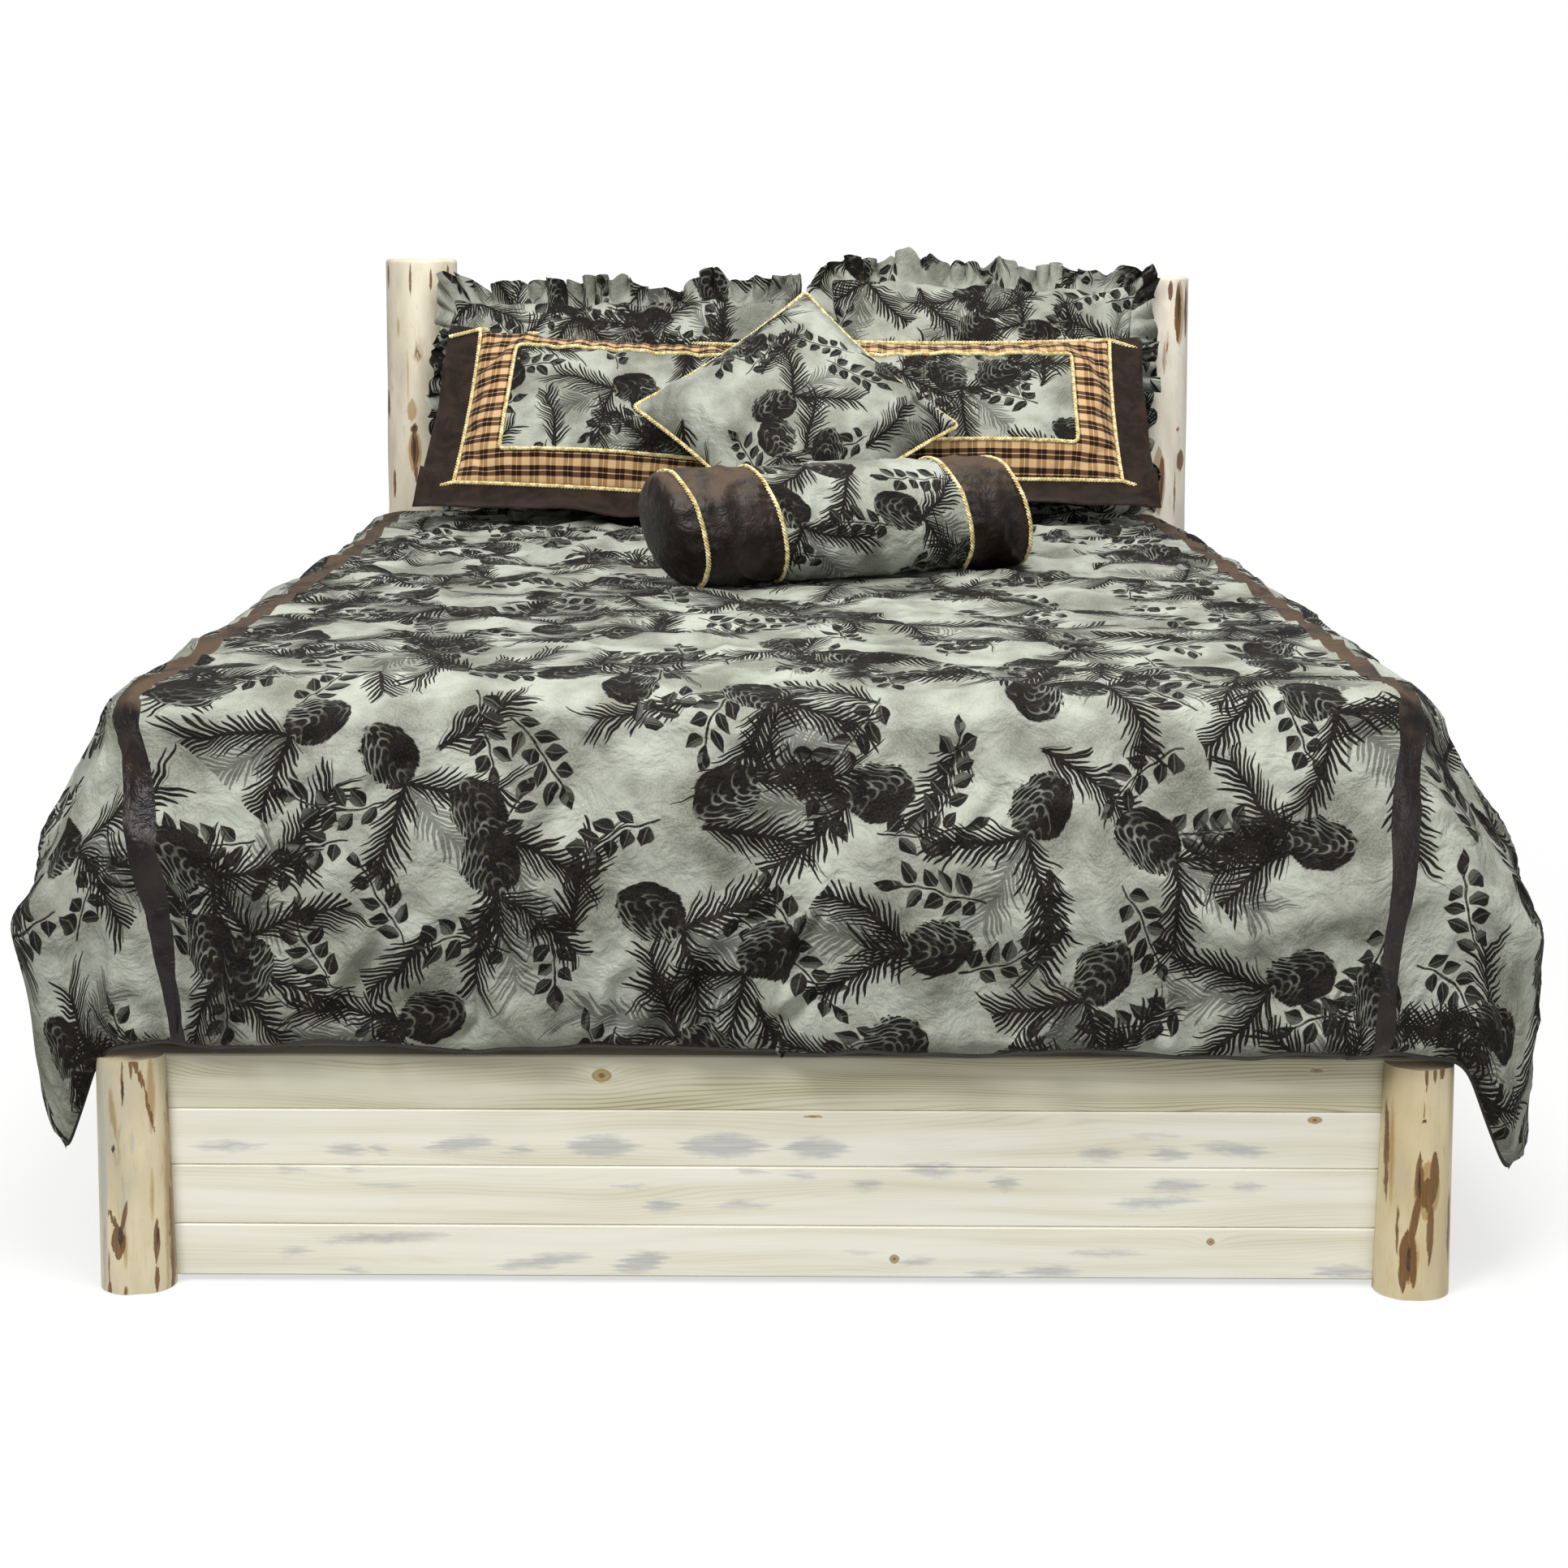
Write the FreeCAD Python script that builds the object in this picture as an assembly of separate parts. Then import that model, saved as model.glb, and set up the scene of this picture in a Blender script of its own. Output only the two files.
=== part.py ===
import FreeCAD, Part
import math
import os

os.makedirs("parts", exist_ok=True)

# A queen-size rustic log bed with its bedding, in millimetres.
# While it is drawn, depth y is counted from the front face of the foot panel towards the head,
# x runs to the right seen from the foot, and z is the height over the floor.
# Every driving length is written once here; the rest is worked out from these.

clearance = 0.3
seat_gap = 0.3
overrun = 2.0

# mattress and box spring, a standard queen set
mattress_width = 1524.0
mattress_length = 2032.0
mattress_height = 333.0
box_spring_height = 229.0
mattress_corner_radius = 60.0
mattress_edge_radius = 40.0
box_spring_edge_radius = 22.0
mattress_foot_gap = 3.0

# foot panel of edge-glued boards with a half log on each end
panel_reveal = 5.0
panel_thickness = 30.0
panel_bottom = 8.0
board_heights = [67.0, 77.0, 73.0, 71.0]
board_edge_chamfer = 2.0
board_seam = 0.3
log_overhang = 44.0
log_foot_width = 95.0
log_top_width = 86.0
log_foot_depth = 41.0
log_top_depth = 35.0
log_heights = {"left": 298.0, "right": 293.0}

# head posts, whole peeled logs
post_head_gap = 67.0
post_radius = 76.0
post_heights = {"left": 1287.0, "right": 1252.0}
post_top_chamfer = 9.0
post_step_heights = [0.0, 210.0, 430.0, 640.0, 860.0, 1070.0]
post_swells = [3.0, -1.0, 1.5, -2.0, 1.0, -1.0]
post_drifts = [0.0, 2.0, -1.5, 2.5, 0.5, -1.0]

# headboard boards, housed in a groove of each post
head_board_height = 129.0
head_board_count = 6
head_board_bottom = 340.0
head_board_thickness = 30.0
head_groove_depth = 40.0
head_batten_width = 90.0
head_batten_thickness = 22.0
head_batten_x = 420.0

# side rails, head crossrail, cleats and slats
rail_thickness = 38.0
rail_side_gap = 7.0
rail_bottom = 50.0
rail_top = 290.0
rail_housing_depth = 30.0
crossrail_thickness = 38.0
cleat_size = 38.0
cleat_top_height = 96.0
slat_thickness = 19.0
slat_width = 89.0
slat_count = 11
slat_end_gap = 4.0
slat_screw_radius = 2.2
slat_screw_head_radius = 4.4
slat_screw_length = 45.0
corner_block_size = 66.0

# centre beam, its hangers, legs and screw-in levelling glides
beam_width = 64.0
beam_height = 64.0
hanger_thickness = 3.0
hanger_length = 55.0
leg_size = 57.0
leg_count = 3
glide_pad_radius = 18.0
glide_pad_height = 5.0
glide_dome_height = 3.0
glide_stem_radius = 4.0
glide_stem_length = 46.0
glide_travel = 8.0
tee_nut_radius = 7.0
tee_nut_length = 14.0
tee_nut_flange_radius = 13.0
tee_nut_flange = 1.5
thread_play = 0.05

# bolts and screws
bolt_radius = 5.0
bolt_head_radius = 11.0
bolt_head_height = 5.0
bolt_nut_radius = 9.0
bolt_nut_height = 8.0
washer_radius = 12.5
washer_thickness = 2.0
barrel_nut_radius = 7.0
barrel_nut_length = 26.0
bed_bolt_reach = 105.0
log_screw_radius = 4.0
log_screw_head_radius = 7.5
log_screw_head_height = 5.0
log_screw_reach = 22.0
batten_screw_radius = 2.2
batten_screw_head_radius = 4.4
batten_screw_reach = 18.0

# comforter
comforter_loft = 29.7
comforter_top_gap = 0.3
comforter_hem_thickness = 16.0
comforter_lap = 50.0
comforter_shoulder_drop = 67.0
comforter_head_gap = 35.0
comforter_side_drop = 371.6
comforter_foot_drop = 450.6
comforter_foot_reach = 95.0

# pillows, all in real sizes
plaid_sham_width = 762.0
plaid_sham_height = 494.0
plaid_sham_half_loft = 50.0
plaid_sham_side_border = 66.0
plaid_sham_low_border = 60.0
plaid_sham_high_border = 40.0
plaid_sham_from_head = 381.0
plaid_sham_lean = 38.0
ruffled_sham_width = 690.0
ruffled_sham_heights = {"left": 420.0, "right": 466.0}
ruffled_sham_half_loft = 50.0
ruffled_sham_from_head = 93.0
ruffled_sham_lean = 8.0
ruffled_sham_x = {"left": -384.0, "right": 424.0}
ruffle_depth = 54.0
ruffle_tucked_share = 0.15
ruffle_thickness = 5.0
ruffle_swing = 9.0
ruffle_gathers_wide = 22
ruffle_gathers_tall = 14
sham_centre_x = 392.0
cushion_side = 460.0
cushion_half_loft = 60.0
cushion_from_head = 601.0
cushion_lean = 47.0
cushion_x = 29.0
roll_radius = 99.0
roll_length = 645.0
roll_dome = 42.0
roll_piping_radius = 4.5
roll_button_radius = 9.0
roll_x = 88.0
roll_from_head = 1050.0
roll_turn = 27.0
roll_piping_shares = [-0.5, -0.325, 0.275, 0.5]
border_thickness = 9.0
pillow_edge = 10.0

# worked-out lines that several pieces share
rail_inner_x = mattress_width * 0.5 + rail_side_gap
log_outer_x = rail_inner_x + rail_thickness + log_overhang
post_x = log_outer_x - post_radius
panel_half_width = log_outer_x - panel_reveal
leg_gap_under = glide_pad_height + glide_dome_height + glide_travel + tee_nut_flange + 2 * seat_gap
slat_seat_z = rail_bottom + cleat_top_height
beam_top_z = slat_seat_z
slat_top_z = slat_seat_z + slat_thickness
box_spring_bottom_z = slat_top_z + seat_gap
box_spring_top_z = box_spring_bottom_z + box_spring_height
mattress_bottom_z = box_spring_top_z + seat_gap
mattress_top_z = mattress_bottom_z + mattress_height
comforter_under_z = mattress_top_z + comforter_top_gap
comforter_top_z = comforter_under_z + comforter_loft
bedding_z = comforter_top_z + seat_gap
mattress_foot_y = panel_thickness + mattress_foot_gap
mattress_head_y = mattress_foot_y + mattress_length
post_y = mattress_head_y + post_head_gap
comforter_side_hem = comforter_top_z - comforter_side_drop
comforter_foot_hem = comforter_top_z - comforter_foot_drop
crossrail_front_y = post_y - crossrail_thickness * 0.5
rail_end_y = post_y - math.sqrt(post_radius ** 2 - (post_x - rail_inner_x) ** 2) + rail_housing_depth
deepest_front_y = mattress_foot_y - comforter_foot_reach
deepest_back_y = post_y + post_radius
middle_y = 0.5 * (deepest_front_y + deepest_back_y)


def box_between(low, high):
    size = [b - a for a, b in zip(low, high)]
    return Part.makeBox(size[0], size[1], size[2], FreeCAD.Vector(*low))


def rod(start, direction, length, radius):
    return Part.makeCylinder(radius, length, FreeCAD.Vector(*start), FreeCAD.Vector(*direction))


def mirror_x(shape):
    return shape.mirror(FreeCAD.Vector(0, 0, 0), FreeCAD.Vector(1, 0, 0))


def on_side(shape, side):
    return mirror_x(shape) if side == "left" else shape


def both_sides(shapes):
    return list(shapes) + [mirror_x(shape) for shape in shapes]


def fused(shapes):
    whole = shapes[0]
    for shape in shapes[1:]:
        whole = whole.fuse(shape)
    return whole.removeSplitter()


def save(name, shapes):
    if not isinstance(shapes, list):
        shapes = [shapes]
    whole = shapes[0].copy() if len(shapes) == 1 else Part.makeCompound(shapes)
    whole.translate(FreeCAD.Vector(0, -middle_y, 0))
    for solid in whole.Solids:
        if not solid.isValid():
            print("not valid:", name)
    print(name, len(whole.Solids), round(sum(s.Volume for s in whole.Solids) / 1000.0))
    whole.exportStep("parts/" + name + ".step")


def line(a, b):
    return Part.LineSegment(FreeCAD.Vector(*a), FreeCAD.Vector(*b)).toShape()


def arc(a, through, b):
    ends = [FreeCAD.Vector(*p) for p in (a, through, b)]
    return Part.Arc(*ends).toShape()


# the foot end

def half_log_section(z, width, depth):
    back_outer = (log_outer_x, 0, z)
    back_inner = (log_outer_x - width, 0, z)
    front = (log_outer_x - width * 0.5, -depth, z)
    return Part.Wire([line(back_inner, back_outer), arc(back_outer, front, back_inner)])


def half_log(side):
    height = log_heights[side]
    sections = []
    for share in (0.0, 0.5, 1.0):
        width = log_foot_width + (log_top_width - log_foot_width) * share
        depth = log_foot_depth + (log_top_depth - log_foot_depth) * share
        sections.append(half_log_section(height * share, width, depth))
    log = Part.makeLoft(sections, True, True)
    for z in log_screw_heights():
        log = log.cut(rod((log_screw_x(), -log_screw_reach - clearance, z), (0, 1, 0),
                          log_screw_reach + overrun, log_screw_radius + clearance))
    return on_side(log, side)


def log_screw_x():
    return log_outer_x - (log_outer_x - rail_inner_x - rail_thickness) * 0.52


def log_screw_heights():
    bottoms = board_bottoms()
    return [bottoms[i] + board_heights[i] * 0.5 for i in (0, 1, 3)]


def board_bottoms():
    bottoms = [panel_bottom]
    for height in board_heights[:-1]:
        bottoms.append(bottoms[-1] + height)
    return bottoms


def foot_board(index):
    low = board_bottoms()[index]
    high = low + board_heights[index]
    low_z = low + (board_seam if index else 0.0)
    board = box_between((-panel_half_width, 0, low_z), (panel_half_width, panel_thickness, high))
    edges = [e for e in board.Edges if is_seam_edge(e)]
    board = board.makeChamfer(board_edge_chamfer, edges)
    holes = [rod((side * log_screw_x(), -overrun, z), (0, 1, 0),
                 panel_thickness + 2 * overrun, log_screw_radius + clearance)
             for side in (-1, 1) for z in log_screw_heights() if low < z < high]
    for hole in holes:
        board = board.cut(hole)
    return board


def is_seam_edge(edge):
    box = edge.BoundBox
    return box.XLength > panel_half_width and box.YMax < panel_thickness * 0.5


def log_screws():
    screws = []
    for z in log_screw_heights():
        start = (log_screw_x(), -log_screw_reach, z)
        shank = rod(start, (0, 1, 0), log_screw_reach + panel_thickness + seat_gap, log_screw_radius)
        head = rod((log_screw_x(), panel_thickness + seat_gap, z), (0, 1, 0),
                   log_screw_head_height, log_screw_head_radius)
        screws.append(fused([shank, head]))
    return both_sides(screws)


def corner_block():
    low = (rail_inner_x - seat_gap - corner_block_size, panel_thickness + seat_gap, rail_bottom)
    high = (rail_inner_x - seat_gap, panel_thickness + seat_gap + corner_block_size, slat_seat_z - seat_gap)
    block = box_between(low, high)
    for z in foot_bolt_heights():
        block = block.cut(foot_bolt_hole(z))
    return block


def foot_bolt_y():
    return panel_thickness + seat_gap + corner_block_size * 0.5


def foot_bolt_heights():
    span = slat_seat_z - rail_bottom
    return [rail_bottom + span * share for share in (0.27, 0.73)]


def foot_bolt_hole(z):
    length = rail_thickness + corner_block_size + 2 * overrun
    start = (rail_inner_x - corner_block_size - overrun, foot_bolt_y(), z)
    return rod(start, (1, 0, 0), length, bolt_radius + clearance)


def foot_bolt_inner_x():
    return rail_inner_x - seat_gap - corner_block_size


def domed_head(x):
    flat = bolt_head_radius * 0.2
    top = x + bolt_head_height
    crown = arc((x, bolt_head_radius, 0), (x + bolt_head_height * 0.72, bolt_head_radius * 0.7, 0),
                (top, flat, 0))
    outline = Part.Wire([crown, line((top, flat, 0), (top, 0, 0)), line((top, 0, 0), (x, 0, 0)),
                         line((x, 0, 0), (x, bolt_head_radius, 0))])
    return Part.Face(outline).revolve(FreeCAD.Vector(0, 0, 0), FreeCAD.Vector(1, 0, 0), 360)


def foot_bolt_parts():
    bolts, nuts, washers = [], [], []
    outer_x = rail_inner_x + rail_thickness + seat_gap
    inner_x = foot_bolt_inner_x()
    reach = bolt_nut_height + washer_thickness + 2 * seat_gap + overrun
    for z in foot_bolt_heights():
        shank = rod((inner_x - reach, 0, 0), (1, 0, 0), outer_x - inner_x + reach, bolt_radius)
        bolt = fused([shank, domed_head(outer_x)])
        bolt.translate(FreeCAD.Vector(0, foot_bolt_y(), z))
        bolts.append(bolt)
        washer_x = inner_x - seat_gap - washer_thickness
        washers.append(ring_along_x(washer_x, foot_bolt_y(), z, washer_thickness, washer_radius))
        nut_x = washer_x - seat_gap - bolt_nut_height
        nuts.append(hex_nut(nut_x, foot_bolt_y(), z))
    return both_sides(bolts), both_sides(nuts), both_sides(washers)


def ring_along_x(x, y, z, thickness, radius):
    disc = rod((x, y, z), (1, 0, 0), thickness, radius)
    return disc.cut(rod((x - overrun, y, z), (1, 0, 0), thickness + 2 * overrun, bolt_radius + clearance))


def hex_nut(x, y, z):
    corners = [(x, y + bolt_nut_radius * math.cos(math.radians(60 * i)),
                z + bolt_nut_radius * math.sin(math.radians(60 * i))) for i in range(7)]
    outline = Part.makePolygon([FreeCAD.Vector(*c) for c in corners])
    nut = Part.Face(outline).extrude(FreeCAD.Vector(bolt_nut_height, 0, 0))
    hole = rod((x - overrun, y, z), (1, 0, 0), bolt_nut_height + 2 * overrun, bolt_radius + clearance)
    return nut.cut(hole)


# the head end

def post_sections(side):
    height = post_heights[side]
    rings = []
    for z, swell, drift in zip(post_step_heights, post_swells, post_drifts):
        rings.append(post_ring(z, post_radius - post_swells[0] + swell, drift))
    rings.append(post_ring(height - post_top_chamfer, post_radius - post_swells[0], 0))
    rings.append(post_ring(height, post_radius - post_swells[0] - post_top_chamfer, 0))
    return rings


def post_ring(z, radius, drift):
    centre = FreeCAD.Vector(post_x + drift, post_y, z)
    return Part.Wire([Part.Circle(centre, FreeCAD.Vector(0, 0, 1), radius).toShape()])


def head_post(side):
    post = Part.makeLoft(post_sections(side), True, True)
    post = post.cut(head_groove())
    post = post.cut(rail_housing())
    post = post.cut(crossrail_housing())
    for z in bed_bolt_heights():
        post = post.cut(bed_bolt_hole(z))
    return on_side(post, side)


def head_groove():
    inner = post_x - post_radius
    half = head_board_thickness * 0.5 + clearance
    return box_between((inner - overrun * 5, post_y - half, head_board_bottom - clearance),
                       (inner + head_groove_depth, post_y + half, head_board_top() + clearance))


def head_board_top():
    return head_board_bottom + head_board_height * head_board_count


def rail_housing():
    low = (rail_inner_x - clearance, post_y - post_radius * 1.5, rail_bottom - clearance)
    high = (rail_inner_x + rail_thickness + clearance, rail_end_y + clearance, rail_top + clearance)
    return box_between(low, high)


def crossrail_housing():
    low = (0, crossrail_front_y - clearance, rail_bottom - clearance)
    high = (crossrail_end_x() + clearance, crossrail_front_y + crossrail_thickness + clearance,
            rail_top + clearance)
    return box_between(low, high)


def crossrail_end_x():
    return post_x - post_radius + head_groove_depth


def bed_bolt_heights():
    return [rail_bottom + (rail_top - rail_bottom) * share for share in (0.3, 0.75)]


def bed_bolt_x():
    return rail_inner_x + rail_thickness * 0.5 + bolt_radius * 1.2


def bed_bolt_hole(z):
    start = (bed_bolt_x(), rail_end_y - bed_bolt_reach - overrun, z)
    through = rod(start, (0, 1, 0), post_radius * 3 + bed_bolt_reach, bolt_radius + clearance)
    pocket_y = bed_bolt_head_y()
    pocket = rod((bed_bolt_x(), pocket_y - seat_gap, z), (0, 1, 0), post_radius, bolt_head_radius + overrun)
    return through.fuse(pocket)


def bed_bolt_head_y():
    return post_y + post_radius * 0.8


def bed_bolts():
    bolts = []
    for z in bed_bolt_heights():
        start = (bed_bolt_x(), rail_end_y - bed_bolt_reach, z)
        shank = rod(start, (0, 1, 0), bed_bolt_head_y() - rail_end_y + bed_bolt_reach, bolt_radius)
        head = rod((bed_bolt_x(), bed_bolt_head_y(), z), (0, 1, 0), bolt_head_height, bolt_head_radius)
        bolts.append(fused([shank, head]))
    return both_sides(bolts)


def barrel_nut_y():
    return rail_end_y - bed_bolt_reach * 0.8


def barrel_nut_hole(z, play):
    start = (rail_inner_x - overrun, barrel_nut_y(), z)
    return rod(start, (1, 0, 0), barrel_nut_length + overrun + play, barrel_nut_radius + play)


def barrel_nuts():
    nuts = []
    for z in bed_bolt_heights():
        start = (rail_inner_x + clearance, barrel_nut_y(), z)
        nut = rod(start, (1, 0, 0), barrel_nut_length - clearance, barrel_nut_radius)
        bore = rod((bed_bolt_x(), barrel_nut_y() - bolt_head_radius, z), (0, 1, 0),
                   2 * bolt_head_radius, bolt_radius + clearance)
        nuts.append(nut.cut(bore))
    return both_sides(nuts)


def head_board(index):
    low = head_board_bottom + index * head_board_height
    z_low = low + (board_seam if index else 0.0)
    end_x = post_x - post_radius + head_groove_depth - clearance
    half = head_board_thickness * 0.5
    board = box_between((-end_x, post_y - half, z_low), (end_x, post_y + half, low + head_board_height))
    edges = [e for e in board.Edges if e.BoundBox.XLength > post_x]
    board = board.makeChamfer(board_edge_chamfer, edges)
    for side in (-1, 1):
        z = low + head_board_height * 0.5
        start = (side * head_batten_x, post_y + half - batten_screw_reach - clearance, z)
        board = board.cut(rod(start, (0, 1, 0), half * 2, batten_screw_radius + clearance))
    return board


def head_batten():
    back = post_y + head_board_thickness * 0.5 + seat_gap
    low = (head_batten_x - head_batten_width * 0.5, back, head_board_bottom + head_batten_width * 0.3)
    high = (head_batten_x + head_batten_width * 0.5, back + head_batten_thickness,
            head_board_top() - head_batten_width * 0.3)
    batten = box_between(low, high)
    edges = [e for e in batten.Edges if e.BoundBox.YMin > back + head_batten_thickness * 0.9]
    batten = batten.makeChamfer(board_edge_chamfer * 2, edges)
    for index in range(head_board_count):
        z = head_board_bottom + (index + 0.5) * head_board_height
        batten = batten.cut(batten_screw(z, clearance))
    return batten


def batten_screw(z, play):
    face = post_y + head_board_thickness * 0.5 + seat_gap + head_batten_thickness
    start = post_y + head_board_thickness * 0.5 - batten_screw_reach
    shank = rod((head_batten_x, start, z), (0, 1, 0), face - start - clearance, batten_screw_radius + play)
    head = Part.makeCone(batten_screw_radius + play, batten_screw_head_radius + play,
                         batten_screw_head_radius - batten_screw_radius,
                         FreeCAD.Vector(head_batten_x, face - batten_screw_head_radius + batten_screw_radius, z),
                         FreeCAD.Vector(0, 1, 0))
    return shank.fuse(head)


def batten_screws():
    heights = [head_board_bottom + (i + 0.5) * head_board_height for i in range(head_board_count)]
    return both_sides([fused([batten_screw(z, 0)]) for z in heights])


def head_crossrail():
    end_x = crossrail_end_x() - clearance
    rail = box_between((-end_x, crossrail_front_y, rail_bottom),
                       (end_x, crossrail_front_y + crossrail_thickness, rail_top))
    return rail


# rails, slats and the centre support

def side_rail():
    start = panel_thickness + seat_gap
    rail = box_between((rail_inner_x, start, rail_bottom), (rail_inner_x + rail_thickness, rail_end_y, rail_top))
    long_edges = [e for e in rail.Edges if e.BoundBox.YLength > post_y * 0.5]
    rail = rail.makeFillet(board_edge_chamfer * 1.5, long_edges)
    for z in foot_bolt_heights():
        rail = rail.cut(foot_bolt_hole(z))
    for z in bed_bolt_heights():
        rail = rail.cut(bed_bolt_hole(z))
        rail = rail.cut(barrel_nut_hole(z, clearance))
    return rail


def cleat():
    low = (rail_inner_x - seat_gap - cleat_size, cleat_start_y(), slat_seat_z - seat_gap - cleat_size)
    high = (rail_inner_x - seat_gap, cleat_end_y(), slat_seat_z - seat_gap)
    strip = box_between(low, high)
    for y in slat_centres():
        strip = strip.cut(slat_screw(y, clearance))
    return strip


def cleat_start_y():
    return panel_thickness + 2 * seat_gap + corner_block_size


def cleat_end_y():
    return crossrail_front_y - post_radius


def slat_centres():
    first = cleat_start_y() + slat_width * 0.6
    last = cleat_end_y() - slat_width * 0.6
    pitch = (last - first) / (slat_count - 1)
    return [first + pitch * i for i in range(slat_count)]


def slat_screw_x():
    return rail_inner_x - cleat_size * 0.5


def slat_screw(y, play):
    top = slat_top_z - clearance
    drop = slat_screw_head_radius - slat_screw_radius
    shank = rod((slat_screw_x(), y, top - slat_screw_length - play), (0, 0, 1),
                slat_screw_length - drop * 0.5, slat_screw_radius + play)
    head = Part.makeCone(slat_screw_radius + play, slat_screw_head_radius + play, drop,
                         FreeCAD.Vector(slat_screw_x(), y, top - drop), FreeCAD.Vector(0, 0, 1))
    return shank.fuse(head)


def slats():
    boards = []
    end_x = rail_inner_x - slat_end_gap
    for y in slat_centres():
        slat = box_between((-end_x, y - slat_width * 0.5, slat_seat_z),
                           (end_x, y + slat_width * 0.5, slat_top_z))
        cutter = slat_screw(y, clearance).fuse(rod((slat_screw_x(), y, slat_top_z - clearance * 2), (0, 0, 1),
                                                   overrun, slat_screw_head_radius + clearance))
        boards.append(slat.cut(cutter).cut(mirror_x(cutter)))
    return boards


def slat_screws():
    return both_sides([fused([slat_screw(y, 0)]) for y in slat_centres()])


def beam_start_y():
    return panel_thickness + hanger_thickness + 2 * seat_gap


def beam_end_y():
    return crossrail_front_y - hanger_thickness - 2 * seat_gap


def centre_beam():
    half = beam_width * 0.5
    beam = box_between((-half, beam_start_y(), beam_top_z - seat_gap - beam_height),
                       (half, beam_end_y(), beam_top_z - seat_gap))
    edges = [e for e in beam.Edges if e.BoundBox.YLength > post_y * 0.5]
    return beam.makeFillet(board_edge_chamfer * 1.5, edges)


def hanger(face_y, inward):
    half = beam_width * 0.5 + seat_gap
    top = beam_top_z - seat_gap - beam_height * 0.25
    bottom = beam_top_z - seat_gap - beam_height - seat_gap
    outer = hanger_box(face_y, inward, half + hanger_thickness, bottom - hanger_thickness, top, 0, 0)
    inner = hanger_box(face_y, inward, half, bottom, top + overrun, hanger_thickness, overrun)
    stirrup = outer.cut(inner)
    ear_out = half + hanger_thickness + leg_size * 0.5
    ears = hanger_ears(face_y, inward, ear_out, bottom, top)
    return fused([stirrup, ears])


def hanger_box(face_y, inward, half, low_z, high_z, start, extra):
    a = face_y + inward * start
    b = face_y + inward * (hanger_length + extra)
    return box_between((-half, min(a, b), low_z), (half, max(a, b), high_z))


def hanger_ears(face_y, inward, half, low_z, high_z):
    a = face_y
    b = face_y + inward * hanger_thickness
    return box_between((-half, min(a, b), low_z), (half, max(a, b), high_z))


def beam_hangers():
    return [hanger(panel_thickness + seat_gap, 1), hanger(crossrail_front_y - seat_gap, -1)]


def leg_centres():
    span = beam_end_y() - beam_start_y()
    return [beam_start_y() + span * (i + 1) / (leg_count + 1) for i in range(leg_count)]


def leg_top_z():
    return beam_top_z - 2 * seat_gap - beam_height


def support_leg(y):
    half = leg_size * 0.5
    leg = box_between((-half, y - half, leg_gap_under), (half, y + half, leg_top_z()))
    upright = [e for e in leg.Edges if e.BoundBox.ZLength > leg_size * 0.5]
    leg = leg.makeFillet(board_edge_chamfer * 2, upright)
    leg = leg.cut(rod((0, y, leg_gap_under - overrun), (0, 0, 1), tee_nut_length + overrun + seat_gap,
                      tee_nut_radius + seat_gap))
    depth = glide_pad_height + glide_dome_height + glide_stem_length - leg_gap_under + glide_travel
    return leg.cut(rod((0, y, leg_gap_under - overrun), (0, 0, 1), depth + 2 * overrun,
                       glide_stem_radius + 1.5 * overrun))


def tee_nuts():
    nuts = []
    for y in leg_centres():
        flange = rod((0, y, leg_gap_under - seat_gap - tee_nut_flange), (0, 0, 1),
                     tee_nut_flange, tee_nut_flange_radius)
        barrel = rod((0, y, leg_gap_under - seat_gap - tee_nut_flange), (0, 0, 1),
                     tee_nut_length, tee_nut_radius)
        bore = rod((0, y, 0), (0, 0, 1), leg_size, glide_stem_radius + thread_play)
        nuts.append(fused([flange, barrel]).cut(bore))
    return nuts


def glide(y):
    r = glide_pad_radius
    top = glide_pad_height
    edge = glide_dome_height
    side = line((r - edge * 0.5, 0, 0), (r, 0, edge * 0.5))
    wall = line((r, 0, edge * 0.5), (r, 0, top))
    dome = line((r, 0, top), (glide_stem_radius, 0, top + edge))
    stem_top = top + edge + glide_stem_length
    stem = [line((glide_stem_radius, 0, top + edge), (glide_stem_radius, 0, stem_top)),
            line((glide_stem_radius, 0, stem_top), (0, 0, stem_top)),
            line((0, 0, stem_top), (0, 0, 0)), line((0, 0, 0), (r - edge * 0.5, 0, 0))]
    outline = Part.Wire([side, wall, dome] + stem)
    foot = Part.Face(outline).revolve(FreeCAD.Vector(0, 0, 0), FreeCAD.Vector(0, 0, 1), 360)
    foot.translate(FreeCAD.Vector(0, y, 0))
    return foot


# mattress and box spring

def rounded_block(width, length, low_z, high_z, corner, edge):
    half = width * 0.5
    block = box_between((-half, mattress_foot_y, low_z), (half, mattress_foot_y + length, high_z))
    upright = [e for e in block.Edges if e.BoundBox.ZLength > edge]
    block = block.makeFillet(corner, upright)
    rims = [e for e in block.Edges if e.BoundBox.ZLength < clearance]
    return block.makeFillet(edge, rims)


# comforter: a ruled loft of ribbon sections around the bed, joined to the top sheet

def skirt_stations():
    # base point, outward direction, shoulder reach, knee reach, knee height, hem reach, hem height
    head_y = mattress_head_y - comforter_head_gap
    knee_z = comforter_side_hem + (comforter_top_z - comforter_side_hem) * 0.5
    corner_y = mattress_foot_y + mattress_corner_radius
    side = []
    reaches = side_reaches()
    for index, (shoulder, knee, hem) in enumerate(reaches):
        share = index / float(len(reaches))
        y = head_y + (corner_y - head_y) * share
        side.append((mattress_width * 0.5, y, 0.0, shoulder, knee, knee_z, hem, comforter_side_hem))
    return side + corner_stations(knee_z) + foot_stations(knee_z)


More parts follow.
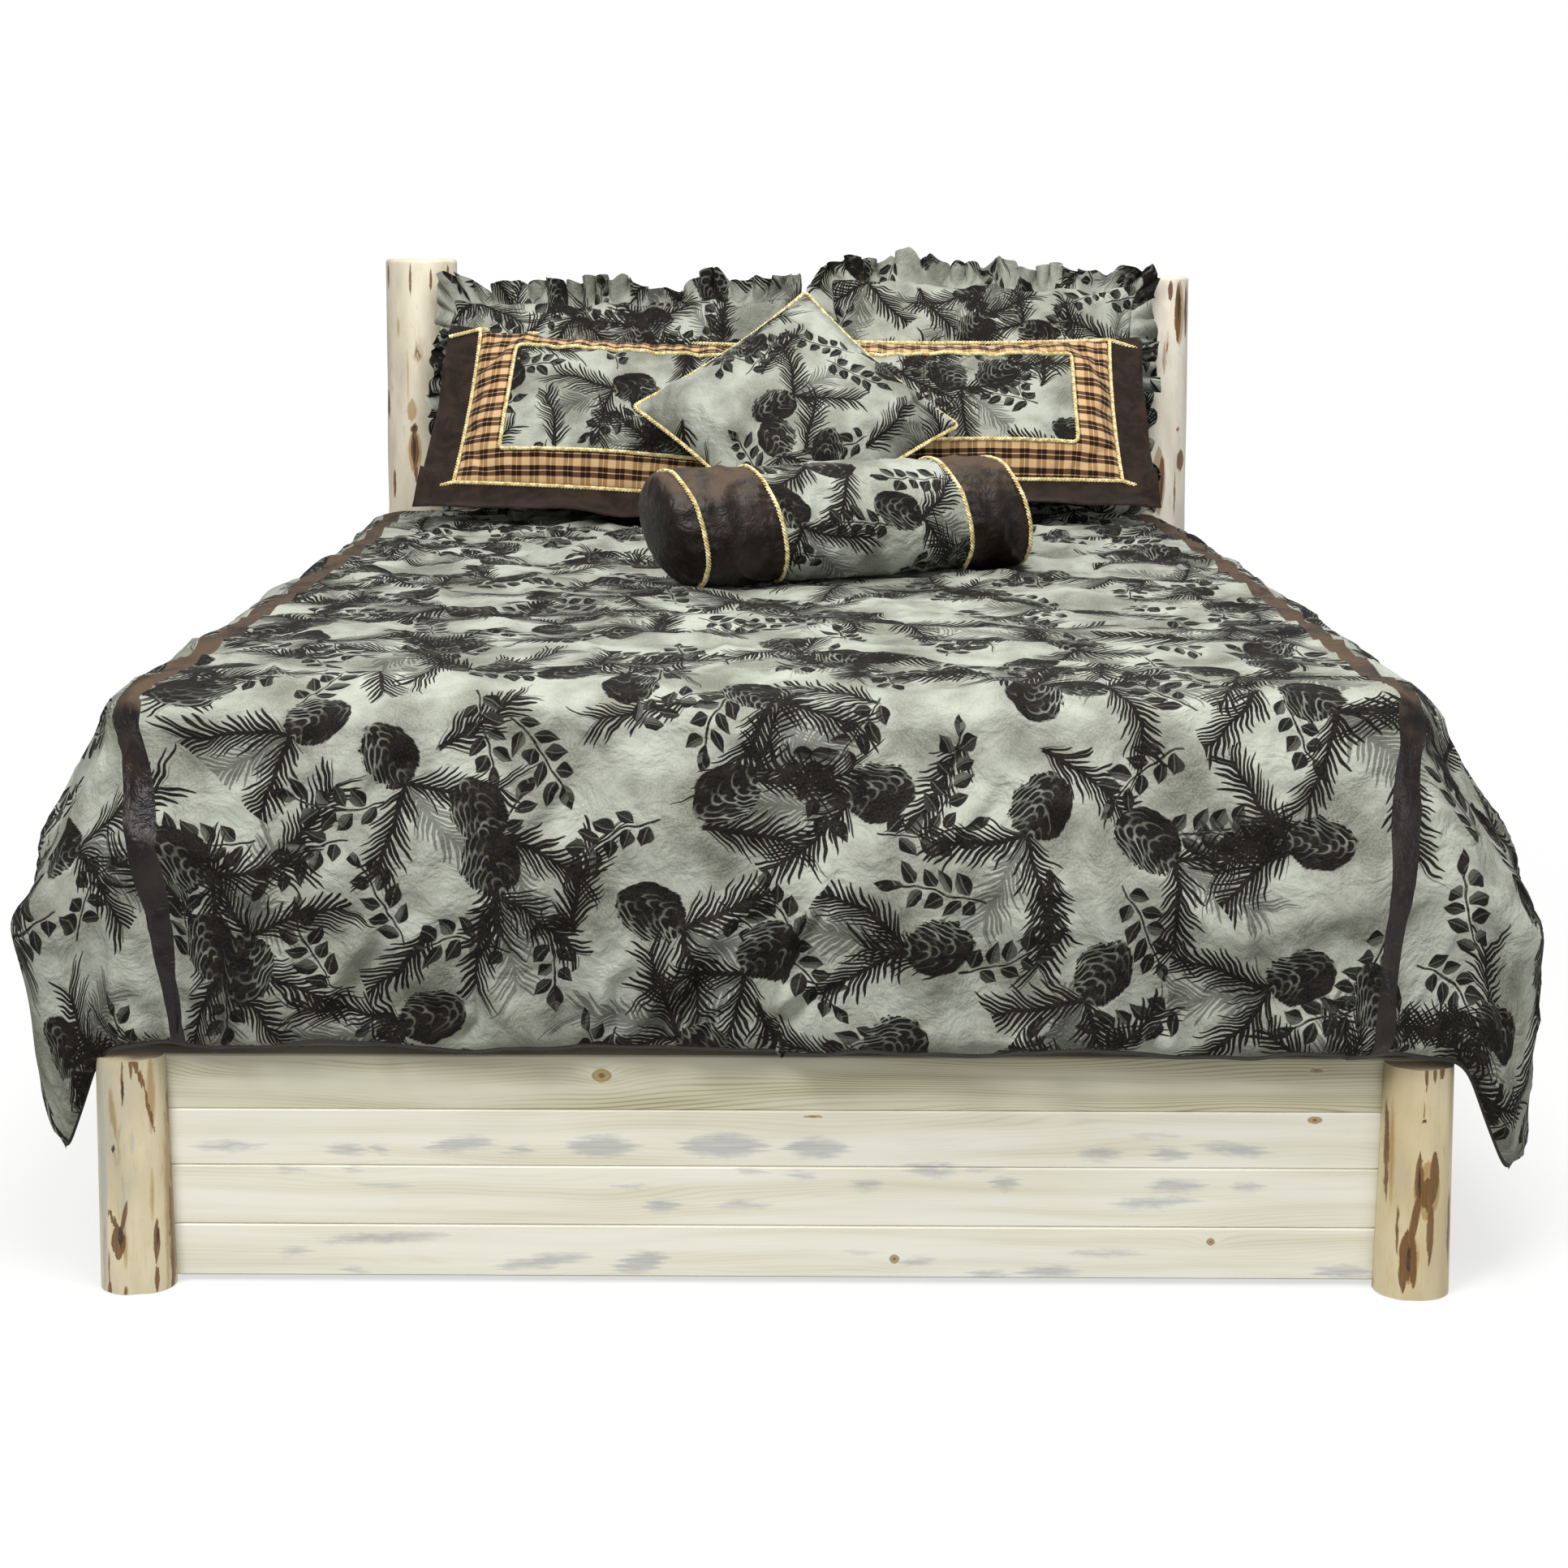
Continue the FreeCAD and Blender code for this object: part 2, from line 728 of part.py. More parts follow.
def side_reaches():
    # outward reach of shoulder, knee and hem along the side, from the head to the foot
    steady = comforter_foot_reach
    shares = [(0.80, 0.90, 1.00), (0.86, 1.08, 1.28), (0.84, 0.98, 1.10), (0.90, 1.16, 1.44),
              (0.88, 1.06, 1.26), (0.94, 1.28, 1.62), (0.92, 1.20, 1.48), (0.96, 1.44, 1.90),
              (0.96, 1.50, 2.04)]
    return [tuple(steady * share for share in row) for row in shares]


def corner_stations(knee_z):
    reach = comforter_foot_reach
    drop = comforter_foot_hem
    rows = [(0.0, 0.95, 1.61, 1.0, 2.24, 1.268), (11.25, 0.93, 1.68, 0.90, 2.14, 0.833),
            (22.5, 0.87, 2.10, 0.80, 1.97, 0.552), (33.75, 0.77, 1.40, 0.90, 1.66, 0.990),
            (45.0, 0.68, 1.10, 1.0, 1.47, 0.993), (67.5, 0.60, 0.86, 1.0, 1.10, 0.996),
            (90.0, 0.56, 0.84, 1.0, 1.0, 1.0)]
    stations = []
    for angle, shoulder, knee, knee_share, hem, hem_share in rows:
        stations.append((None, None, angle, reach * shoulder, reach * knee, knee_z * knee_share,
                         reach * hem, drop * hem_share))
    return stations


def foot_stations(knee_z):
    steady = comforter_foot_reach
    half = mattress_width * 0.5 - mattress_corner_radius
    rows = [(0.80, 0.56, 0.80, 0.94), (0.60, 0.58, 0.88, 1.0), (0.40, 0.56, 0.80, 0.93),
            (0.20, 0.58, 0.87, 1.0), (0.0, 0.56, 0.81, 0.94)]
    return [(half * share, mattress_foot_y, 90.0, steady * shoulder, steady * knee, knee_z,
             steady * hem, comforter_foot_hem) for share, shoulder, knee, hem in rows]


def station_frame(station):
    x, y, angle = station[0], station[1], math.radians(station[2])
    out = (math.cos(angle), -math.sin(angle))
    if x is None:
        centre_x = mattress_width * 0.5 - mattress_corner_radius
        centre_y = mattress_foot_y + mattress_corner_radius
        x = centre_x + mattress_corner_radius * out[0]
        y = centre_y + mattress_corner_radius * out[1]
    return x, y, out


def ribbon_points(station):
    shoulder, knee, knee_z, hem, hem_z = station[3:]
    drop = comforter_shoulder_drop
    loft = comforter_loft
    half_turn = math.sqrt(0.5)
    shoulder_z = comforter_top_z - drop
    flat_end = shoulder - drop
    outer = [(-comforter_lap, comforter_top_z), (flat_end, comforter_top_z),
             (flat_end + drop * half_turn, shoulder_z + drop * half_turn), (shoulder, shoulder_z),
             (knee, knee_z), (hem, hem_z)]
    turn = drop - loft
    inner = [(hem - comforter_hem_thickness, hem_z), (knee - loft, knee_z), (shoulder - loft, shoulder_z),
             (flat_end + turn * half_turn, shoulder_z + turn * half_turn), (flat_end, comforter_under_z),
             (-comforter_lap, comforter_under_z)]
    return outer, inner


def ribbon(station):
    x, y, out = station_frame(station)

    def lift(point):
        return (x + out[0] * point[0], y + out[1] * point[0], point[1])

    outer, inner = ribbon_points(station)
    o = [lift(p) for p in outer]
    i = [lift(p) for p in inner]
    edges = [line(o[0], o[1]), arc(o[1], o[2], o[3]), line(o[3], o[4]), line(o[4], o[5]),
             line(o[5], i[0]), line(i[0], i[1]), line(i[1], i[2]), arc(i[2], i[3], i[4]),
             line(i[4], i[5]), line(i[5], o[0])]
    return Part.Wire(edges)


def top_sheet():
    points = []
    for station in skirt_stations():
        x, y, out = station_frame(station)
        points.append((x - out[0] * comforter_lap, y - out[1] * comforter_lap))
    left = [(-x, y) for x, y in reversed(points) if x > clearance]
    outline = [FreeCAD.Vector(x, y, comforter_under_z) for x, y in points + left]
    wire = Part.makePolygon(outline + [outline[0]])
    return Part.Face(wire).extrude(FreeCAD.Vector(0, 0, comforter_loft))


def comforter():
    right = Part.makeLoft([ribbon(s) for s in skirt_stations()], True, True)
    return fused([top_sheet(), right, mirror_x(right)])


# pillows

def lens_section(across, low, high, half_loft, edge):
    # a lens in the plane at this place across the pillow, bellied on both faces
    half_edge = edge * 0.5
    middle = 0.5 * (low + high)
    belly = half_loft
    a, b = (across, -half_edge, low), (across, -half_edge, high)
    c, d = (across, half_edge, high), (across, half_edge, low)
    return Part.Wire([arc(a, (across, -belly, middle), b), line(b, c),
                      arc(c, (across, belly, middle), d), line(d, a)])


def pillow_body(width, height, half_loft, draw_in):
    sections = []
    for share, fullness in ((-1.0, 0.0), (-0.86, 0.50), (-0.5, 0.86), (0.0, 1.0),
                            (0.5, 0.86), (0.86, 0.50), (1.0, 0.0)):
        inset = draw_in * (1.0 - share ** 2)
        belly = pillow_edge * 0.62 + (half_loft - pillow_edge * 0.62) * fullness
        sections.append(lens_section(share * width * 0.5, inset, height - inset, belly, pillow_edge))
    return Part.makeLoft(sections, True, False)


def drawn_outline(low_x, high_x, low_z, high_z, draw_in, y):
    mid_x, mid_z = 0.5 * (low_x + high_x), 0.5 * (low_z + high_z)
    corners = [(low_x, y, low_z), (high_x, y, low_z), (high_x, y, high_z), (low_x, y, high_z)]
    middles = [(mid_x, y, low_z + draw_in), (high_x - draw_in, y, mid_z),
               (mid_x, y, high_z - draw_in), (low_x + draw_in, y, mid_z)]
    edges = [arc(corners[i], middles[i], corners[(i + 1) % 4]) for i in range(4)]
    return Part.Wire(edges)


def flat_border(width, height, draw_in):
    outline = drawn_outline(-width * 0.5, width * 0.5, 0, height, draw_in, -border_thickness * 0.5)
    return Part.Face(outline).extrude(FreeCAD.Vector(0, border_thickness, 0))


def leaned(shape, lean, x, y):
    shape.rotate(FreeCAD.Vector(0, 0, 0), FreeCAD.Vector(1, 0, 0), -lean)
    lift = bedding_z - shape.BoundBox.ZMin
    shape.translate(FreeCAD.Vector(x, y, lift))
    return shape


def plaid_sham(side):
    draw_in = plaid_sham_high_border * 0.25
    body = pillow_body(plaid_sham_width - 2 * plaid_sham_side_border,
                       plaid_sham_height - plaid_sham_low_border - plaid_sham_high_border,
                       plaid_sham_half_loft, draw_in)
    body.translate(FreeCAD.Vector(0, 0, plaid_sham_low_border))
    sham = fused([flat_border(plaid_sham_width, plaid_sham_height, draw_in), body])
    sign = -1 if side == "left" else 1
    return leaned(sham, plaid_sham_lean, sign * sham_centre_x, mattress_head_y - plaid_sham_from_head)


def ruffle_edge(width, height):
    # points of the gathered edge, one at each crest and valley of its folds
    points = []
    for i in range(ruffle_gathers_wide):
        points.append((-width * 0.5 + width * i / ruffle_gathers_wide, 0.0, 0, -1))
    for i in range(ruffle_gathers_tall):
        points.append((width * 0.5, height * i / ruffle_gathers_tall, 1, 0))
    for i in range(ruffle_gathers_wide):
        points.append((width * 0.5 - width * i / ruffle_gathers_wide, height, 0, 1))
    for i in range(ruffle_gathers_tall):
        points.append((-width * 0.5, height - height * i / ruffle_gathers_tall, -1, 0))
    return points


def ruffle_section(x, z, out_x, out_z, swing):
    half = ruffle_thickness * 0.5
    down = ruffle_tucked_share if out_z < 0 else 1.0
    far_x, far_z = x + out_x * ruffle_depth, z + out_z * ruffle_depth * down
    near_x, near_z = x + out_x * clearance, z + out_z * clearance
    corners = [(near_x, -half, near_z), (far_x, swing - half, far_z),
               (far_x, swing + half, far_z), (near_x, half, near_z)]
    return Part.makePolygon([FreeCAD.Vector(*c) for c in corners + corners[:1]])


def ruffle(width, height):
    sections = []
    edge = ruffle_edge(width, height)
    for index, (x, z, out_x, out_z) in enumerate(edge):
        previous = edge[index - 1]
        corner = (previous[2], previous[3]) != (out_x, out_z)
        if corner:
            out_x, out_z = out_x + previous[2], out_z + previous[3]
        swing = ruffle_swing if index % 2 else -ruffle_swing
        sections.append(ruffle_section(x, z, out_x, out_z, swing))
    return Part.makeLoft(sections, True, True, True)


def ruffled_sham(side):
    # the pillow and the gathered strip sewn round it, leaned back together
    height = ruffled_sham_heights[side]
    body = pillow_body(ruffled_sham_width, height, ruffled_sham_half_loft, clearance)
    frill = ruffle(ruffled_sham_width, height)
    place = FreeCAD.Vector(ruffled_sham_x[side], mattress_head_y - ruffled_sham_from_head, 0)
    for shape in (body, frill):
        shape.rotate(FreeCAD.Vector(0, 0, 0), FreeCAD.Vector(1, 0, 0), -ruffled_sham_lean)
        shape.translate(place)
    lift = bedding_z - min(vertex.Z for vertex in frill.Vertexes)
    for shape in (body, frill):
        shape.translate(FreeCAD.Vector(0, 0, lift))
    return body, frill


def square_cushion():
    body = pillow_body(cushion_side, cushion_side, cushion_half_loft, cushion_side * 0.02)
    body.translate(FreeCAD.Vector(0, 0, -cushion_side * 0.5))
    body.rotate(FreeCAD.Vector(0, 0, 0), FreeCAD.Vector(0, 1, 0), 45)
    return leaned(body, cushion_lean, cushion_x, mattress_head_y - cushion_from_head + cushion_side * 0.5)


def roll_profile():
    # an open outline over the axis: domed ends, a bead at each piping, a slight swell between
    half = roll_length * 0.5
    waist = roll_radius * 0.95
    bead = roll_piping_radius
    stops = [share * (roll_length - 2 * roll_dome) for share in roll_piping_shares]
    button = roll_button_radius
    edges = [line((-half, 0, 0), (-half, 0, button)),
             arc((-half, 0, button), (stops[0] - roll_dome * 0.55, 0, waist * 0.72), (stops[0] - bead, 0, waist))]
    for index, x in enumerate(stops):
        ridge = [(x - bead, 0, waist), (x - bead * 0.4, 0, waist + bead), (x + bead * 0.4, 0, waist + bead),
                 (x + bead, 0, waist)]
        edges += [line(ridge[i], ridge[i + 1]) for i in range(3)]
        if index + 1 < len(stops):
            start, end = x + bead, stops[index + 1] - bead
            swell = [(start, 0, waist), (start + (end - start) * 0.25, 0, roll_radius),
                     (start + (end - start) * 0.75, 0, roll_radius), (end, 0, waist)]
            edges += [line(swell[i], swell[i + 1]) for i in range(3)]
    edges.append(arc((stops[-1] + bead, 0, waist), (stops[-1] + roll_dome * 0.55, 0, waist * 0.72),
                     (half, 0, button)))
    edges.append(line((half, 0, button), (half, 0, 0)))
    edges.append(line((half, 0, 0), (-half, 0, 0)))
    return Part.Wire(edges)


def neck_roll():
    body = Part.Face(roll_profile())
    roll = body.revolve(FreeCAD.Vector(0, 0, 0), FreeCAD.Vector(1, 0, 0), 360)
    roll.rotate(FreeCAD.Vector(0, 0, 0), FreeCAD.Vector(0, 0, 1), roll_turn)
    roll.translate(FreeCAD.Vector(roll_x, mattress_head_y - roll_from_head, bedding_z + roll_radius))
    return roll


def save_foot_end():
    for side in ("left", "right"):
        save("foot_log_" + side, half_log(side))
    for index, name in enumerate(("bottom", "lower", "upper", "top")):
        save("foot_board_" + name, foot_board(index))
    save("log_screws", log_screws())
    block = corner_block()
    save("foot_corner_block_left", mirror_x(block))
    save("foot_corner_block_right", block)
    bolts, nuts, washers = foot_bolt_parts()
    save("rail_bolts", bolts)
    save("rail_bolt_nuts", nuts)
    save("rail_bolt_washers", washers)


def save_head_end():
    for side in ("left", "right"):
        save("head_post_" + side, head_post(side))
    for index in range(head_board_count):
        save("head_board_" + str(index + 1), head_board(index))
    save("head_batten_left", mirror_x(head_batten()))
    save("head_batten_right", head_batten())
    save("batten_screws", batten_screws())
    save("head_crossrail", head_crossrail())
    save("bed_bolts", bed_bolts())
    save("barrel_nuts", barrel_nuts())


def save_supports():
    save("side_rail_left", mirror_x(side_rail()))
    save("side_rail_right", side_rail())
    save("slat_cleat_left", mirror_x(cleat()))
    save("slat_cleat_right", cleat())
    save("slats", slats())
    save("slat_screws", slat_screws())
    save("centre_beam", centre_beam())
    save("beam_hangers", beam_hangers())
    for name, y in zip(("foot", "middle", "head"), leg_centres()):
        save("support_leg_" + name, support_leg(y))
        save("glide_" + name, glide(y))
    save("tee_nuts", tee_nuts())


def save_bedding():
    save("box_spring", rounded_block(mattress_width, mattress_length, box_spring_bottom_z, box_spring_top_z,
                                     mattress_corner_radius, box_spring_edge_radius))
    save("mattress", rounded_block(mattress_width, mattress_length, mattress_bottom_z, mattress_top_z,
                                   mattress_corner_radius, mattress_edge_radius))
    save("comforter", comforter())
    for side in ("left", "right"):
        save("plaid_sham_" + side, plaid_sham(side))
        body, frill = ruffled_sham(side)
        save("ruffled_sham_" + side, body)
        save("sham_ruffle_" + side, frill)
    save("square_cushion", square_cushion())
    save("neck_roll", neck_roll())


save_foot_end()
save_head_end()
save_supports()
save_bedding()
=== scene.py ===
"""A made-up queen bed of peeled pine logs: frame, box spring, mattress, comforter, shams, cushion and neck roll."""
import logging
import math
from dataclasses import dataclass
from enum import Enum
from functools import cached_property
from typing import Callable, Sequence

import bpy
import numpy as np
from mathutils import Matrix, Vector


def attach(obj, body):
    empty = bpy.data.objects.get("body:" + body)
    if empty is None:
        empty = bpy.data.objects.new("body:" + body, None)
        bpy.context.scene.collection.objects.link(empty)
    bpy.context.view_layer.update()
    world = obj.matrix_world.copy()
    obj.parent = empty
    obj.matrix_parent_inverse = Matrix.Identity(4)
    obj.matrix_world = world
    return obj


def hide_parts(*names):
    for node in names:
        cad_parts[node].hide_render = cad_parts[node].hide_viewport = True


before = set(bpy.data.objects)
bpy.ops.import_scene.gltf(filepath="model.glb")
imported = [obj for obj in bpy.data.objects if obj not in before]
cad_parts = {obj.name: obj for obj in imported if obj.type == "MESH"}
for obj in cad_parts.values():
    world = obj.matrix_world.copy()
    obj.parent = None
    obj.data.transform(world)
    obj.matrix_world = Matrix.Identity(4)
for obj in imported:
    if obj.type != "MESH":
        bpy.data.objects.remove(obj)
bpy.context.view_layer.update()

log = logging.getLogger("rustic_log_bed")

MM = 0.001
MIDDLE_Y = 1073.0 * MM
BED_BODY = "bed"
PHOTO_SIDE = 1932
SENSOR = 36.0
FLOOR_Z = -1.2 * MM
QUILT_TOP = 758.2 * MM
CORD_RADIUS = 4.4 * MM
CORD_STRANDS = 3
CORD_LAY = 19.0 * MM


def at(x_mm: float, depth_mm: float, z_mm: float) -> tuple[float, float, float]:
    """Turn millimetres counted from the foot panel's front face into a point of the row frame, in metres."""
    return (x_mm * MM, depth_mm * MM - MIDDLE_Y, z_mm * MM)


def spot(x_mm: float, depth_mm: float) -> tuple[float, float]:
    """Turn a place on the plan, counted as in at(), into metres of the row frame."""
    return at(x_mm, depth_mm, 0.0)[:2]


def srgb(code: str) -> tuple[float, float, float, float]:
    """Turn an sRGB hex colour into linear RGBA.

    Args:
        code: six hex digits, with or without a leading hash.
    Returns:
        The linear colour with full alpha.
    """
    code = code.lstrip("#")
    parts = [int(code[i:i + 2], 16) / 255.0 for i in (0, 2, 4)]
    linear = [p / 12.92 if p <= 0.04045 else ((p + 0.055) / 1.055) ** 2.4 for p in parts]
    return (linear[0], linear[1], linear[2], 1.0)


# shader nodes

class Grain(Enum):
    """The direction in which a board's or log's fibres run."""

    X = 0
    Y = 1
    Z = 2


Socket = bpy.types.NodeSocket


def connect(tree: bpy.types.NodeTree, node: bpy.types.Node, inputs: dict) -> None:
    """Set or link a node's inputs, by their name or number."""
    for key, value in inputs.items():
        if isinstance(value, Val):
            value = value.socket
        if isinstance(value, Socket):
            tree.links.new(value, node.inputs[key])
        else:
            node.inputs[key].default_value = value


def add_node(tree: bpy.types.NodeTree, kind: str, inputs: dict | None = None, out: int | str | None = 0,
             **settings: object) -> Socket | None:
    """Add a node with its settings, values and links.

    Args:
        tree: the node tree that takes the node.
        kind: the node's type name.
        inputs: values or sockets by input name or number.
        out: the output to hand back, or None.
        settings: properties of the node.
    Returns:
        The chosen output socket.
    """
    node = tree.nodes.new(kind)
    for name, value in settings.items():
        setattr(node, name, value)
    connect(tree, node, inputs or {})
    return None if out is None else node.outputs[out]


class Val:
    """A number in a shader, which arithmetic turns into nodes."""

    def __init__(self, tree: bpy.types.NodeTree, socket: Socket) -> None:
        """Hold the tree and the socket."""
        self.tree = tree
        self.socket = socket

    def do(self, operation: str, *others: "Val | float", clamp: bool = False) -> "Val":
        """Apply one math operation to this value and the others."""
        inputs = dict(enumerate((self, *others)))
        return Val(self.tree, add_node(self.tree, "ShaderNodeMath", inputs, operation=operation, use_clamp=clamp))

    def __add__(self, other: "Val | float") -> "Val":
        """Add."""
        return self.do("ADD", other)

    def __sub__(self, other: "Val | float") -> "Val":
        """Subtract."""
        return self.do("SUBTRACT", other)

    def __mul__(self, other: "Val | float") -> "Val":
        """Multiply."""
        return self.do("MULTIPLY", other)

    def __truediv__(self, other: "Val | float") -> "Val":
        """Divide."""
        return self.do("DIVIDE", other)

    def __rsub__(self, other: float) -> "Val":
        """Subtract from a number."""
        return self.do("MULTIPLY", -1.0).do("ADD", other)

    def clipped(self) -> "Val":
        """Keep between 0 and 1."""
        return self.do("MAXIMUM", 0.0).do("MINIMUM", 1.0)

    def wave(self) -> "Val":
        """Give the sine, moved to between 0 and 1."""
        return self.do("SINE") * 0.5 + 0.5

    def step(self, low: float, high: float) -> "Val":
        """Rise smoothly from 0 at low to 1 at high."""
        return Val(self.tree, add_node(self.tree, "ShaderNodeMapRange", {0: self, 1: low, 2: high, 3: 0.0, 4: 1.0},
                                       interpolation_type="SMOOTHSTEP"))

    def below(self, limit: "Val | float", soft: float) -> "Val":
        """Give 1 where this is under the limit and 0 above it, over a soft edge of this width."""
        return ((self - limit) / -soft).do("ADD", 0.5, clamp=True)


def axes_of(tree: bpy.types.NodeTree, vector: Socket) -> tuple[Val, Val, Val]:
    """Split a vector into its three numbers."""
    outputs = add_node(tree, "ShaderNodeSeparateXYZ", {0: vector}).node.outputs
    return tuple(Val(tree, outputs[i]) for i in range(3))


def vector_of(tree: bpy.types.NodeTree, x: "Val | float", y: "Val | float", z: "Val | float" = 0.0) -> Socket:
    """Join three numbers into a vector."""
    return add_node(tree, "ShaderNodeCombineXYZ", {0: x, 1: y, 2: z})


def noise(tree: bpy.types.NodeTree, vector: Socket, scale: float, detail: float = 3.0, rough: float = 0.5,
          warp: float = 0.0) -> Val:
    """Sample fractal noise, whose middle is 0.5."""
    return Val(tree, add_node(tree, "ShaderNodeTexNoise", {"Vector": vector, "Scale": scale, "Detail": detail,
                                                          "Roughness": rough, "Distortion": warp}))


def noise_at(tree: bpy.types.NodeTree, x: "Val | float", y: "Val | float", z: "Val | float", detail: float = 3.0,
             rough: float = 0.5) -> Val:
    """Sample fractal noise at three numbers that already carry its scale."""
    return noise(tree, vector_of(tree, x, y, z), 1.0, detail, rough)


def mix(tree: bpy.types.NodeTree, share: "Val | float", low: object, high: object) -> Socket:
    """Mix two colours or colour sockets.

    Args:
        tree: the node tree.
        share: how much of the second colour.
        low: the first colour, as sRGB hex, or a socket.
        high: the second colour, likewise.
    Returns:
        The mixed colour.
    """
    low, high = (srgb(tone) if isinstance(tone, str) else tone for tone in (low, high))
    return add_node(tree, "ShaderNodeMix", {0: share, 6: low, 7: high}, out=2, data_type="RGBA")


def random_of(tree: bpy.types.NodeTree, vector: Socket) -> tuple[Val, Val, Val]:
    """Give three even random numbers that hang on the vector alone."""
    colour = add_node(tree, "ShaderNodeTexWhiteNoise", {"Vector": vector}, out="Color", noise_dimensions="3D")
    return axes_of(tree, colour)


def bump(tree: bpy.types.NodeTree, height: Val, depth: float, strength: float,
         normal: Socket | None = None) -> Socket:
    """Turn a height from 0 to 1 into a bumped normal, at a real depth in metres."""
    inputs = {"Height": height, "Distance": depth, "Strength": strength}
    if normal is not None:
        inputs["Normal"] = normal
    return add_node(tree, "ShaderNodeBump", inputs)


def place_mm(tree: bpy.types.NodeTree, kind: str = "Object") -> Socket:
    """Give the place in millimetres: on the object, or with "UV" on the flat cloth, whose map is in metres."""
    place = add_node(tree, "ShaderNodeTexCoord", out=kind)
    return add_node(tree, "ShaderNodeVectorMath", {0: place, 3: 1000.0}, operation="SCALE")


class Finish:
    """A finish that builds its material once and hands it to pieces."""

    name: str

    @cached_property
    def material(self) -> bpy.types.Material:
        """Build the material at its first use."""
        material = bpy.data.materials.new(self.name)
        material.use_nodes = True
        tree = material.node_tree
        tree.nodes.clear()
        shader = add_node(tree, "ShaderNodeBsdfPrincipled")
        add_node(tree, "ShaderNodeOutputMaterial", {0: shader}, out=None)
        connect(tree, shader.node, self.paint(tree))
        return material

    def paint(self, tree: bpy.types.NodeTree) -> dict:
        """Fill the tree and list the shader's inputs; each finish does this in its own way."""
        raise NotImplementedError


# printed cotton: a plain-woven cotton, reactive printed in near-black over a clouded sage ground.
# The eye sees a dull cloth with slow clouds of tone, crisp dark sprigs and a fine tooth of thread.

class Motif:
    """A drawn shape kept as a node group, so that it is built once and stamped many times."""

    def __init__(self, name: str, takes: int, gives: int, draw: Callable[..., Sequence[Val]]) -> None:
        """Build the group.

        Args:
            name: the group's name.
            takes: how many numbers go in.
            gives: how many numbers come out.
            draw: gets the tree and the numbers that go in, and gives those that come out.
        """
        self.group = bpy.data.node_groups.new(name, "ShaderNodeTree")
        for side, count in (("INPUT", takes), ("OUTPUT", gives)):
            for index in range(count):
                self.group.interface.new_socket(f"{side.lower()}_{index}", in_out=side, socket_type="NodeSocketFloat")
        source = self.group.nodes.new("NodeGroupInput")
        drawn = draw(self.group, *[Val(self.group, source.outputs[i]) for i in range(takes)])
        add_node(self.group, "NodeGroupOutput", dict(enumerate(drawn)), out=None)

    def stamp(self, tree: bpy.types.NodeTree, *values: "Val | float") -> list[Val]:
        """Place the group in a tree and give its results."""
        socket = add_node(tree, "ShaderNodeGroup", dict(enumerate(values)), node_tree=self.group)
        return [Val(tree, output) for output in socket.node.outputs]


def lattice(tree: bpy.types.NodeTree, x: Val, y: Val, cell: Val, stray: Val, seed: Val, cosine: Val,
            sine: Val) -> tuple[Val, ...]:
    """Find the place within the nearest motif of a jittered lattice.

    Args:
        tree: the node tree.
        x, y: the flat place in millimetres.
        cell: the lattice's pitch in millimetres.
        stray: how far a motif may stray from its cell's middle, in millimetres.
        seed: a number that tells one lattice from another.
        cosine, sine: of the lattice's own turn.
    Returns:
        The place across and along the motif, in millimetres, and one random number for it.
    """
    u = (x * cosine - y * sine + seed * 37.0) / cell
    v = (x * sine + y * cosine + seed * 53.0) / cell
    row = v.do("FLOOR")
    u = u + row * 0.5
    column = u.do("FLOOR")
    a, b, c = random_of(tree, vector_of(tree, column, row, seed))
    du = (u - column - 0.5) * cell - (a - 0.5) * 2.0 * stray
    dv = (v - row - 0.5) * cell - (b - 0.5) * 2.0 * stray
    angle = c * (2.0 * math.pi)
    cos, sin = angle.do("COSINE"), angle.do("SINE")
    return du * cos + dv * sin, dv * cos - du * sin, a


TWIG_MIDDLE = 58.0


def needle_sprig(tree: bpy.types.NodeTree, across: Val, along: Val, pick: Val) -> tuple[Val, ...]:
    """Draw a twig 120 mm long with needles swept forward; its base lies at 0. Gives the cover from 0 to 1."""
    bent = across - along * along * ((pick - 0.5) * 0.0055)
    off = bent.do("ABSOLUTE")
    side = bent.do("SIGN")
    swept = along - off * 1.6 + off * off * 0.014 + side * 2.2
    pitch = 9.0
    index = (swept / pitch).do("FLOOR")
    a, b, _ = random_of(tree, vector_of(tree, index, side, pick))
    middle = (swept / pitch - index - 0.5 + (b - 0.5) * (off * 0.016 + 0.2)).do("ABSOLUTE") * pitch
    length = a * 16.0 + 19.0
    width = (1.0 - off / length).do("MAXIMUM", 0.0).do("POWER", 0.55) * 3.6 + 0.3
    inside = (swept - TWIG_MIDDLE).do("ABSOLUTE").below(62.0, 3.0)
    needles = middle.below(width, 1.0) * off.below(length, 2.0) * inside
    stem = off.below(3.6 - along * 0.014, 1.0) * (along - TWIG_MIDDLE).do("ABSOLUTE").below(60.0, 4.0)
    return (needles.do("MAXIMUM", stem),)


